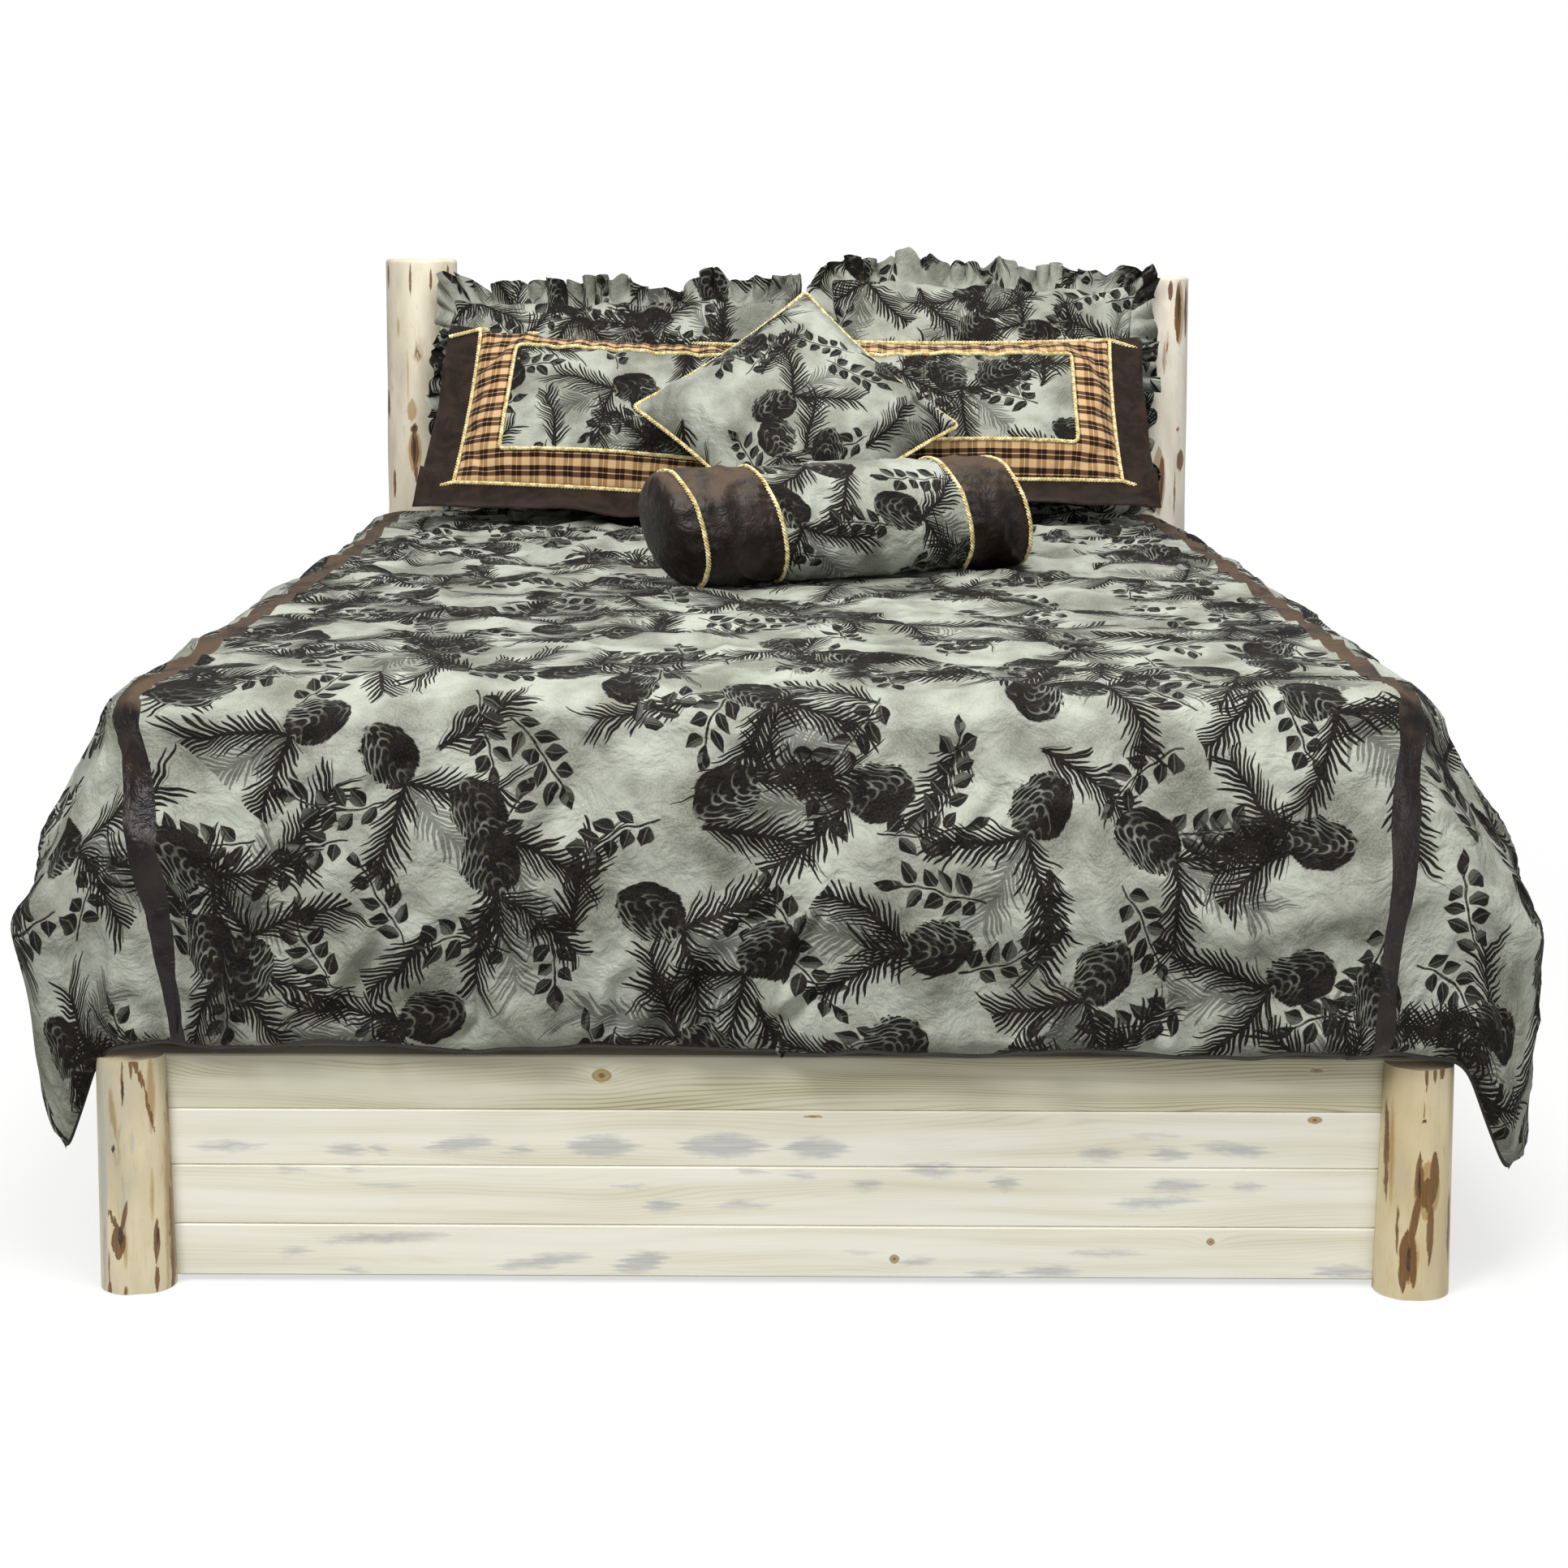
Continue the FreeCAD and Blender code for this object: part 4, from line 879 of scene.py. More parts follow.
def points_of(mesh: bpy.types.Mesh) -> np.ndarray:
    """Read a mesh's points."""
    co = np.empty(len(mesh.vertices) * 3)
    mesh.vertices.foreach_get("co", co)
    return co.reshape(-1, 3)


def move_points(mesh: bpy.types.Mesh, co: np.ndarray) -> None:
    """Move a mesh's points to new places."""
    mesh.vertices.foreach_set("co", co.ravel())
    mesh.update()


def unit(vectors: np.ndarray) -> np.ndarray:
    """Scale vectors to length 1."""
    return vectors / np.maximum(np.linalg.norm(vectors, axis=-1, keepdims=True), 1e-9)


def lengths_of(line: np.ndarray) -> np.ndarray:
    """Give how far along a line each of its points lies."""
    return np.concatenate([[0.0], np.cumsum(np.linalg.norm(np.diff(line, axis=0), axis=1))])


def resample(line: np.ndarray, way: np.ndarray) -> np.ndarray:
    """Read a line at these lengths along it."""
    length = lengths_of(line)
    return np.stack([np.interp(way, length, line[:, k]) for k in range(line.shape[1])], axis=1)


def blur(rows: np.ndarray, kernel: np.ndarray, **ends: str) -> np.ndarray:
    """Smooth the columns of a table with a kernel, carried on past both ends as np.pad is told."""
    reach = len(kernel) // 2
    padded = np.pad(rows, ((reach, reach), (0, 0)), **ends)
    return np.stack([np.convolve(padded[:, k], kernel, mode="valid") for k in range(rows.shape[1])], axis=1)


def bell(reach: int, width: float) -> np.ndarray:
    """Give a bell-shaped kernel that adds up to 1."""
    kernel = np.exp(-0.5 * (np.arange(-reach, reach + 1) / width) ** 2)
    return kernel / kernel.sum()


def grid_normals(points: np.ndarray) -> np.ndarray:
    """Give unit normals of a grid of points, rows by columns by three."""
    along = np.gradient(points, axis=0)
    across = np.gradient(points, axis=1)
    return unit(np.cross(along, across))


def ripple(x: np.ndarray, y: "np.ndarray | float", wavelength: float, seed: int,
           stretch: tuple[float, float] = (1.0, 1.0)) -> np.ndarray:
    """Sum plane waves of about one wavelength into a smooth random field, about -1 to 1.

    Args:
        x: places along the first direction, in metres.
        y: places along the second direction.
        wavelength: the middle wavelength in metres.
        seed: the number that fixes the waves.
        stretch: factors on the two directions.
    Returns:
        The field.
    """
    waves = 7
    rng = np.random.default_rng(seed)
    total = np.zeros(np.broadcast(x, y).shape)
    for _ in range(waves):
        angle = rng.uniform(0.0, math.pi)
        length = wavelength * rng.uniform(0.7, 1.5)
        phase = rng.uniform(0.0, 2.0 * math.pi)
        way = math.cos(angle) * x * stretch[0] + math.sin(angle) * y * stretch[1]
        total += np.sin(2.0 * math.pi / length * way + phase)
    return total / math.sqrt(waves * 0.5) * 0.7


def folded(field: np.ndarray, width: float = 0.3) -> np.ndarray:
    """Turn the middle lines of a smooth field into rounded ridges."""
    return np.exp(-(field / width) ** 2)


@dataclass
class Camera:
    """The photographer's place: almost level, with the lens moved down."""

    place: tuple[float, float, float] = at(36.6, -2872.8, 1299.9)
    pitch: float = 5.28
    yaw: float = 0.48
    roll: float = 0.05
    focal_px: float = 2899.0
    shift: float = -0.20

    def build(self) -> None:
        """Set up the scene's camera."""
        data = bpy.data.cameras.new("photo_camera")
        data.sensor_width = SENSOR
        data.lens = self.focal_px / PHOTO_SIDE * SENSOR
        data.shift_y = self.shift
        data.clip_end = 60.0
        camera = new_object("photo_camera", data)
        turn = (Matrix.Rotation(math.radians(self.yaw), 4, "Z")
                @ Matrix.Rotation(math.radians(90.0 - self.pitch), 4, "X")
                @ Matrix.Rotation(math.radians(self.roll), 4, "Z"))
        camera.matrix_world = Matrix.Translation(self.place) @ turn
        bpy.context.scene.camera = camera


@dataclass
class Studio:
    """A pale floor that the camera sees white, and soft lamps at a plain level."""

    world_strength: float = 0.37
    key_power: float = 158.0
    fill_power: float = 47.0
    top_power: float = 66.0
    head_power: float = 74.0
    floor_half: float = 9.0

    def build(self) -> None:
        """Build the floor, the world and the lamps."""
        self.floor()
        self.world()
        self.lamp("key_lamp", (-2.3, -3.9, 3.7), (0.0, -0.3, 0.5), 1.5, self.key_power)
        self.lamp("fill_lamp", (2.6, -3.9, 2.0), (0.0, 0.0, 0.6), 2.4, self.fill_power)
        self.lamp("top_lamp", (0.2, 0.6, 3.9), (0.0, 0.2, 0.5), 3.0, self.top_power)
        self.lamp("head_lamp", (0.4, -1.7, 3.3), (0.0, 0.8, 0.9), 1.6, self.head_power)
        bpy.context.scene.view_settings.view_transform = "Standard"

    def floor(self) -> None:
        """Build a grey floor, which shows white to the camera and to glossy rays but keeps the shadow."""
        points = np.array([(x * self.floor_half, y * self.floor_half, FLOOR_Z)
                           for x, y in ((-1, -1), (1, -1), (1, 1), (-1, 1))])
        floor = new_object("floor", mesh_of("floor", points, [(0, 1, 2, 3)]))
        material = bpy.data.materials.new("pale_floor")
        material.use_nodes = True
        tree = material.node_tree
        tree.nodes.clear()
        shine = add_node(tree, "ShaderNodeEmission", {"Color": (1.0, 1.0, 1.0, 1.0), "Strength": 1.0})
        seen = self.rays(tree, "Is Camera Ray", "Is Glossy Ray", "Is Transmission Ray")
        colour = mix(tree, seen, "#8c8c88", "#f4f4f2")
        diffuse = add_node(tree, "ShaderNodeBsdfDiffuse", {"Color": colour})
        x, y, _ = axes_of(tree, place_mm(tree))
        far = ((x / 1000.0).do("POWER", 2.0) + (y / 1250.0).do("POWER", 2.0)).do("SQRT").step(1.0, 2.2)
        glow = add_node(tree, "ShaderNodeMixShader", {0: seen * (far * 0.35 + 0.65), 1: diffuse, 2: shine})
        add_node(tree, "ShaderNodeOutputMaterial", {0: glow}, out=None)
        floor.data.materials.append(material)

    def world(self) -> None:
        """Build a white world, plain white where the camera sees it."""
        world = bpy.data.worlds.new("studio")
        world.use_nodes = True
        tree = world.node_tree
        tree.nodes.clear()
        seen = self.rays(tree, "Is Camera Ray", "Is Transmission Ray")
        strength = seen * (1.0 - self.world_strength) + self.world_strength
        light = add_node(tree, "ShaderNodeBackground", {"Color": (1.0, 1.0, 1.0, 1.0), "Strength": strength})
        add_node(tree, "ShaderNodeOutputWorld", {0: light}, out=None)
        bpy.context.scene.world = world

    @staticmethod
    def rays(tree: bpy.types.NodeTree, *kinds: str) -> Val:
        """Give 1 for rays of these kinds and 0 for others."""
        outputs = add_node(tree, "ShaderNodeLightPath").node.outputs
        first, *others = (Val(tree, outputs[kind]) for kind in kinds)
        for other in others:
            first = first.do("MAXIMUM", other)
        return first

    @staticmethod
    def lamp(name: str, place: tuple, target: tuple, size: float, power: float) -> None:
        """Hang a square soft lamp that looks at the target."""
        data = bpy.data.lights.new(name, "AREA")
        data.shape = "SQUARE"
        data.size = size
        data.energy = power
        lamp = new_object(name, data)
        look = Vector(target) - Vector(place)
        lamp.matrix_world = Matrix.Translation(place) @ look.to_track_quat("-Z", "Y").to_matrix().to_4x4()


# the frame

@dataclass
class FoundLog:
    """A log at one corner: where it stands, its radii at foot and top, and its height, in metres."""

    name: str
    node: str
    centre: tuple[float, float]
    radius: float
    height: float
    seed: int
    tones: tuple[str, str]
    marks: dict[Tone, Sequence[Mark]]
    half: bool = False
    width_foot: float = 95.0 * MM
    width_top: float = 86.0 * MM
    depth_foot: float = 41.0 * MM
    depth_top: float = 35.0 * MM
    outer_face: float = 851.0 * MM
    chamfer: float = 9.0 * MM
    around: int = 120
    upward: int = 150

    def build(self) -> bpy.types.Object:
        """Loft the log's skin, cap both ends and dress it."""
        share = np.linspace(0.0, 1.0, self.upward)[:, None]
        points = self.half_skin(share) if self.half else self.round_skin(share)
        rows, columns = points.shape[:2]
        mesh = mesh_of(self.name, points.reshape(-1, 3), tube_faces(rows, columns))
        wear(mesh, PeeledLog(self.name + "_sapwood", float(self.seed), self.centre, self.tones, self.marks),
             EndGrain(self.name + "_end_grain", self.centre, self.radius))
        for cap in mesh.polygons[-2:]:
            cap.material_index = 1
            cap.use_smooth = False
        self.sharpen(mesh, columns, rows)
        piece = enlist(new_object(self.name, mesh))
        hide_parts(self.node)
        return piece

    @staticmethod
    def sharpen(mesh: bpy.types.Mesh, columns: int, rows: int) -> None:
        """Mark the rims of the two ends sharp."""
        sharp = mesh.attributes.new("sharp_edge", "BOOLEAN", "EDGE")
        for edge in mesh.edges:
            a, b = edge.vertices
            if (a < columns and b < columns) or (a >= (rows - 1) * columns and b >= (rows - 1) * columns):
                sharp.data[edge.index].value = True

    def rough(self, angle: np.ndarray, z: np.ndarray) -> np.ndarray:
        """Give the drawknife's slow waves and facets, in metres."""
        wave = ripple(np.cos(angle) * 0.12, z * 0.35 + np.sin(angle) * 0.12, 0.10, self.seed)
        facet = ripple(angle * 0.05, z * 0.08, 0.04, self.seed + 5)
        return wave * 1.1 * MM + facet * 0.35 * MM

    def round_skin(self, share: np.ndarray) -> np.ndarray:
        """Give the skin of a whole log with a rounded top edge."""
        angle = np.linspace(0.0, 2.0 * math.pi, self.around, endpoint=False)[None, :]
        z = share * (self.height - self.chamfer)
        radius = self.radius - 1.4 * MM + self.rough(angle, z)
        turn = np.linspace(0.0, 0.5 * math.pi, 8)[1:, None]
        rim = radius[-1:, :] - self.chamfer * (1.0 - np.cos(turn))
        radius = np.concatenate([radius, rim], axis=0)
        z = np.concatenate([z, self.height - self.chamfer + self.chamfer * np.sin(turn)], axis=0)
        x = self.centre[0] + radius * np.cos(angle)
        y = self.centre[1] + radius * np.sin(angle)
        return np.stack([x, y, np.broadcast_to(z, x.shape)], axis=-1)

    def half_skin(self, share: np.ndarray) -> np.ndarray:
        """Give the skin of a half log whose flat back lies on the foot panel."""
        side = 1.0 if self.centre[0] > 0 else -1.0
        outer = side * self.outer_face
        arc = np.linspace(0.0, math.pi, self.around - 24)[None, :]
        width = self.width_foot + (self.width_top - self.width_foot) * share
        depth = self.depth_foot + (self.depth_top - self.depth_foot) * share
        z = share * self.height
        bulge = 1.0 + self.rough(arc, z) / depth * np.sin(arc)
        middle = outer - side * width * 0.5
        back = middle - width * 0.5 + np.linspace(0.0, 1.0, 26)[None, 1:-1] * width
        x = np.concatenate([middle + np.cos(arc) * width * 0.5, back], axis=1)
        y = np.concatenate([-MIDDLE_Y - np.sin(arc) ** 0.8 * depth * bulge, np.full_like(back, -MIDDLE_Y)], axis=1)
        return np.stack([x, y, np.broadcast_to(z, x.shape)], axis=-1)


@dataclass
class LogFrame:
    """The pine frame: logs, boards, rails, slats, legs and fasteners."""

    pale: tuple[str, str, str] = ("#eeecdf", "#e4e0cd", "#bfb28c")
    warm: tuple[str, str, str] = ("#dad7c1", "#ccc7ab", "#8e8058")
    plain: tuple[str, str, str] = ("#e2cfa3", "#d4bb88", "#b8955c")
    back: tuple[str, str, str] = ("#ebe2c9", "#e0d1ac", "#b49560")

    def logs(self) -> list[FoundLog]:
        """List the four logs; x of a mark counts from the log's middle."""
        head_left = {
            Tone.GOLD: marks((-40, 1144, 3, 23), (-12, 970, 11, 24), (-7, 884, 15, 50), (-20, 1040, 2, 60)),
            Tone.BARK_AND_SHADOW: marks((-64, 1250, 3, 28), (-12, 1243, 3, 36), (30, 1243, 3, 24), (62, 1250, 3, 27),
                             (-67, 979, 4, 33), (-7, 888, 9, 42), (-5, 838, 4, 22), (-54, 814, 4, 32),
                             (-8, 931, 8, 10)),
            Tone.CORE: marks((-8, 886, 4, 28), (-8, 931, 4, 5), (-10, 915, 1.5, 16)),
        }
        head_right = {
            Tone.GOLD: marks((16, 1081, 4, 37), (8, 823, 15, 78), (49, 1175, 12, 70)),
            Tone.BARK_AND_SHADOW: marks((27, 1222, 6, 21), (45, 1175, 8, 66), (65, 1180, 4, 60), (-7, 1034, 3, 25),
                             (49, 930, 4.3, 4.3), (57, 866, 9, 23), (44, 795, 2, 50), (-22, 861, 8, 84),
                             (12, 820, 7, 60, 0.05)),
            Tone.CORE: marks((-24, 868, 4, 60), (47, 1190, 3, 34), (14, 806, 2.5, 34)),
        }
        foot_left = {
            Tone.BLUE: marks((-35, 150, 6, 170), (5, 196, 3, 16), (-6, 110, 3.5, 34)),
            # painted shadow: the gold strip (42, 150, 3, 170) down the whole right edge stands in for the log's shadow
            # on the panel
            Tone.GOLD: marks((-19, 230, 5, 36, -0.1), (42, 150, 3, 170), (-46, 150, 2, 170), (-6, 62, 3.5, 32),
                             (27, 255, 5, 54), (27, 125, 2.4, 38), (-18, 177, 1.8, 10)),
            Tone.BARK_AND_SHADOW: marks((-6, 272, 2, 30), (5, 294, 2.5, 20), (13, 285, 3, 28, -0.31), (25, 235, 2.2, 34, -0.18),
                             (-21, 91, 2.8, 19, -0.4), (-7, 98, 3.4, 24, 0.2), (-15, 67, 10, 22), (-29, 30, 1.4, 28),
                             (31, 66, 3.8, 27), (31, 18, 2.6, 20), (-28, 3, 3.5, 12), (-6, 2, 2.4, 12),
                             # painted shadow: the bark-brown strip (46, 150, 3, 190) down the whole right edge stands
                             # in for the log's shadow on the panel
                             (43, 258, 3, 60), (46, 150, 3, 190)),
            Tone.CORE: marks((-20, 185, 2.6, 5), (-5.5, 262, 1.6, 18), (-12, 74, 4, 14), (32, 72, 1.4, 15)),
        }
        foot_right = {
            Tone.GOLD: marks((-33, 185, 3, 68), (9, 140, 17, 40), (-12, 56, 13, 36), (41, 86, 3, 52)),
            Tone.BARK_AND_SHADOW: marks((5, 292, 2.4, 30), (16, 290, 3, 14), (26, 292, 3.5, 15), (3.3, 229, 3.2, 3.2),
                             (3.3, 243, 0.9, 12), (-38, 185, 2.6, 68), (-1, 155, 5.5, 34), (18, 160, 6.5, 33),
                             (9, 137, 12, 21), (-6, 100, 5, 47, 0.157), (-13, 58, 11, 33), (-19, 32, 5, 27),
                             (-6, 41, 4.5, 29), (13, 87, 5, 42), (-26, 88, 1.8, 34), (40, 86, 2, 52)),
            Tone.CORE: marks((3.3, 229, 1.6, 1.6), (-1, 150, 2, 24), (-12, 50, 3, 18)),
        }
        cream, deep = ("#ddd1b1", "#c8bc9b"), ("#d6c9a6", "#c4b187")
        pink, sand = ("#efeadd", "#e3d9c6"), ("#ddd5c0", "#cdc3ab")
        return [
            FoundLog("head_log_left", "head_post_left", spot(-775.0, 2132.0), 76.0 * MM, 1287.0 * MM, 3, sand,
                     head_left),
            FoundLog("head_log_right", "head_post_right", spot(775.0, 2132.0), 76.0 * MM, 1252.0 * MM, 8, pink,
                     head_right),
            FoundLog("half_log_left", "foot_log_left", spot(-804.0, 0.0), 47.0 * MM, 298.0 * MM, 5, cream,
                     foot_left, True),
            FoundLog("half_log_right", "foot_log_right", spot(804.0, 0.0), 47.0 * MM, 293.0 * MM, 12, deep,
                     foot_right, True),
        ]

    def build(self) -> None:
        """Build the logs and dress the boards and hardware that the CAD gives."""
        for item in self.logs():
            item.build()
            log.info("log %s", item.name)
        self.dress_foot_boards()
        self.dress_hidden_pine()
        self.dress_hardware()

    def dress_foot_boards(self) -> None:
        """Give each board of the foot panel its own grain, stain and knots."""
        knots = {
            "top": marks((-216, 270, 12, 9), (681, 280, 8, 2)),
            "upper": marks((680, 216, 9, 5), (50, 218, 12, 1.5)),
            "lower": (),
            "bottom": marks((153, 33, 6, 6), (552, 57, 5, 5)),
        }
        stains = {
            "top": (),
            "upper": marks((-688, 177, 45, 7), (-539, 173, 25, 7), (-498, 174, 11, 6), (-395, 180, 45, 11, 0.1),
                           (-320, 173, 18, 7), (-216, 178, 46, 15), (-62, 180, 58, 16), (55, 177, 42, 14),
                           (412, 171, 27, 8), (499, 171, 26, 9), (581, 177, 45, 9, -0.1), (481, 196, 33, 2),
                           (199, 154, 34, 6)),
            "lower": marks((-611, 147, 19, 5), (-530, 147, 9, 4), (-489, 126, 33, 3), (-28, 147, 19, 5),
                           (-179, 126, 23, 3), (35, 142, 18, 6), (119, 129, 21, 7), (199, 148, 32, 7),
                           (263, 150, 25, 3), (293, 133, 18, 10), (509, 130, 38, 9), (598, 129, 23, 6),
                           (-139, 101, 24, 9), (-38, 102, 36, 6), (482, 108, 56, 8, 0.06)),
            "bottom": marks((-494, 58, 84, 7, 0.05), (-606, 40, 20, 5), (-291, 28, 62, 9, 0.12),
                            (-167, 27, 34, 14, 0.2), (-529, 15, 13, 5), (417, 41, 48, 4), (273, 14, 25, 6),
                            (350, 17, 38, 8), (112, 42, 22, 2), (182, 30, 22, 6, 0.1), (720, 19, 38, 9)),
        }
        for index, name in enumerate(("bottom", "lower", "upper", "top")):
            tones = self.warm if name == "top" else self.pale
            finish = PineBoard("foot_board_" + name, Grain.X, 2.0 + index * 1.7, tones, knots[name], stains[name],
                               0.75 if name == "top" else 0.3)
            self.dress("foot_board_" + name, finish)

    def dress_hidden_pine(self) -> None:
        """Dress the boards that lie along, across and upright."""
        for index in range(6):
            self.dress(f"head_board_{index + 1}", PineBoard(f"head_board_{index + 1}", Grain.X, 9.0 + index, self.back))
        plain = {
            Grain.X: ("head_crossrail", "slats"),
            Grain.Y: ("side_rail_left", "side_rail_right", "slat_cleat_left", "slat_cleat_right", "centre_beam"),
            Grain.Z: ("support_leg_foot", "support_leg_middle", "support_leg_head", "head_batten_left",
                      "head_batten_right", "foot_corner_block_left", "foot_corner_block_right"),
        }
        for grain, nodes in plain.items():
            finish = PineBoard("frame_pine_" + grain.name.lower(), grain, 20.0 + grain.value, self.plain)
            for node in nodes:
                self.dress(node, finish)

    def dress_hardware(self) -> None:
        """Dress the steel and the nylon."""
        steel = ZincSteel()
        for node in ("log_screws", "rail_bolts", "rail_bolt_nuts", "rail_bolt_washers", "batten_screws", "bed_bolts",
                     "barrel_nuts", "slat_screws", "beam_hangers", "tee_nuts"):
            self.dress(node, steel)
        nylon = Nylon()
        for node in ("glide_foot", "glide_middle", "glide_head"):
            self.dress(node, nylon)

    @staticmethod
    def dress(node: str, finish: Finish) -> None:
        """Put a finish on a CAD node's material slots."""
        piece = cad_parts[node]
        for slot in piece.material_slots:
            slot.material = finish.material
        if not piece.material_slots:
            piece.data.materials.append(finish.material)


# mattress and box spring

@dataclass
class QuiltedBlock:
    """A box spring or mattress: a bulged, rounded block with a bound edge."""

    name: str
    node: str
    low: float
    high: float
    finish: Finish
    slot: str
    width: float = 1524.0 * MM
    length: float = 2032.0 * MM
    foot: float = 33.0 * MM
    corner: float = 60.0 * MM
    edge: float = 30.0 * MM
    bulge: float = 2.0 * MM
    face_inset: float = 60.0 * MM

    def ring(self, inset: float, count: int = 240) -> np.ndarray:
        """Give points around the block's outline, pulled in by an inset."""
        half_x, half_y = self.width * 0.5 - inset, self.length * 0.5 - inset
        corner = max(self.corner - inset, 5.0 * MM)
        points = []
        for sx, sy, start in ((1, 1, 0.0), (-1, 1, 90.0), (-1, -1, 180.0), (1, -1, 270.0)):
            for turn in np.linspace(start, start + 90.0, count // 4):
                angle = math.radians(turn)
                points.append((sx * (half_x - corner) + corner * math.cos(angle),
                               sy * (half_y - corner) + corner * math.sin(angle)))
        return np.array(points)

    def build(self) -> bpy.types.Object:
        """Stack rings from the bottom to the top and close both faces."""
        middle_y = (self.foot + self.length * 0.5) - MIDDLE_Y
        rows = []
        levels = [(self.face_inset, 0.0), (self.edge, 0.0)]
        for turn in np.linspace(0.0, 90.0, 7):
            levels.append((self.edge * (1.0 - math.sin(math.radians(turn))),
                           self.edge * (1.0 - math.cos(math.radians(turn)))))
        height = self.high - self.low
        wall = [(-self.bulge * math.sin(math.pi * s) + self.bulge, self.edge + (height - 2 * self.edge) * s)
                for s in np.linspace(0.0, 1.0, 9)[1:-1]]
        mirrored = [(inset, height - z) for inset, z in reversed(levels)]
        for inset, z in levels + wall + mirrored:
            outline = self.ring(max(inset, 0.0) + 0.4 * MM)
            rows.append(np.column_stack([outline[:, 0], outline[:, 1] + middle_y, np.full(len(outline), self.low + z)]))
        points = np.stack(rows)
        mesh = mesh_of(self.name, points.reshape(-1, 3), tube_faces(*points.shape[:2]))
        wear(mesh, self.finish)
        piece = enlist(new_object(self.name, mesh))
        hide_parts(self.node)
        return piece


# the comforter

@dataclass
class Comforter:
    """The comforter: one rectangular quilt laid over the bed, drawn on its own flat cut.

    Places round the bed count from 0 at the head: 1 where a side ends, 2 where its corner ends, 3 at the foot's middle.
    cloth_turn and bed_turn say how far round the corner each direction of the cut hangs, in degrees. The swell makes
    the left and right hang bulge more or less at shares of the way down to the hem.
    """

    top: float = 757.6 * MM
    half_width: float = 702.0 * MM
    corner_depth: float = 93.0 * MM
    head_depth: float = 2030.0 * MM
    side_drop: float = 466.0 * MM
    foot_drop: float = 530.0 * MM
    base: float = 60.0 * MM
    loft: float = 27.0 * MM
    reach: float = 95.0 * MM
    pitch: float = 7.5 * MM
    band_low: float = 751.0 * MM
    band_high: float = 785.0 * MM
    rounding: float = 28.0 * MM
    cloth_turn: tuple[float, ...] = (0.0, 34.0, 48.7, 60.0, 70.0, 80.0, 90.0)
    bed_turn: tuple[float, ...] = (0.0, 11.25, 22.5, 33.75, 50.0, 70.0, 90.0)
    tip_place: float = 1.25
    right_tip_drop: float = 15.0 * MM
    head_shift: float = 36.0 * MM
    head_shift_length: float = 0.75
    sections: int = 110
    swell_at: tuple[float, ...] = (0.0, 0.1, 0.25, 0.6, 1.0)
    swell_left: tuple[float, ...] = (1.25, 1.22, 1.02, 1.075, 0.91)
    swell_right: tuple[float, ...] = (1.0, 1.02, 0.92, 1.11, 1.03)

    @property
    def run(self) -> float:
        """Give how much of the cut's length lies along the sides, before the foot corners."""
        return self.head_depth - self.corner_depth

    @property
    def length(self) -> float:
        """Give the cut's length, from its head edge to its foot hem."""
        return self.run + self.foot_drop

    @property
    def half_cut(self) -> float:
        """Give half of the cut's width."""
        return self.half_width + self.side_drop

    def stations(self) -> tuple[np.ndarray, np.ndarray]:
        """List places around the bed and the hang there.

        Returns:
            The place on the way round (side, then corner, then foot), and for each place the outward reach of the
            shoulder, knee and hem and the heights of knee and hem.
        """
        level = 0.5725
        side = [(0.80, 0.90, 1.00), (0.86, 1.08, 1.28), (0.84, 0.98, 1.10), (0.90, 1.16, 1.44), (0.88, 1.06, 1.26),
                (0.94, 1.28, 1.62), (0.92, 1.20, 1.48), (0.96, 1.44, 1.90), (0.96, 1.50, 2.04)]
        rows = [(index / 9.0, *reaches, level, 0.386) for index, reaches in enumerate(side)]
        corner = [(0.0, 0.95, 1.61, 2.24, level, 0.388), (11.25, 0.93, 1.68, 2.14, 0.515, 0.215),
                  (17.0, 0.90, 1.89, 2.06, 0.487, 0.178), (22.5, 0.87, 2.10, 1.97, 0.458, 0.171),
                  (27.0, 0.83, 1.82, 1.88, 0.481, 0.178), (33.75, 0.77, 1.40, 1.70, 0.515, 0.240),
                  (39.0, 0.73, 1.25, 1.58, 0.545, 0.298), (45.0, 0.68, 1.10, 1.47, level, 0.314),
                  (67.5, 0.60, 0.86, 1.10, level, 0.326), (90.0, 0.56, 0.84, 1.0, level, 0.319)]
        rows += [(1.0 + angle / 90.0, *rest) for angle, *rest in corner]
        foot = [(0.56, 0.80, 0.94), (0.58, 0.88, 1.0), (0.56, 0.80, 0.93), (0.58, 0.87, 1.0), (0.56, 0.81, 0.94)]
        rows += [(2.0 + (index + 1) / 5.0, *reaches, level, 0.320) for index, reaches in enumerate(foot)]
        table = np.array(rows)
        return table[:, 0], table[:, 1:] * [self.reach, self.reach, self.reach, 1.0, 1.0]

    def section_table(self) -> tuple[np.ndarray, np.ndarray]:
        """Give, for even steps around the bed, the hang's outward reach and height at even steps down the cloth."""
        place, rows = self.stations()
        steps = np.linspace(0.0, 3.0, 361)
        smooth = np.stack([np.interp(steps, place, rows[:, k]) for k in range(rows.shape[1])], axis=1)
        smooth = blur(smooth, bell(8, 3.0), mode="edge")
        return steps, np.array([self.hang(*row, float(np.clip(step - 1.2, 0.0, 1.0)))
                                for step, row in zip(steps, smooth)])

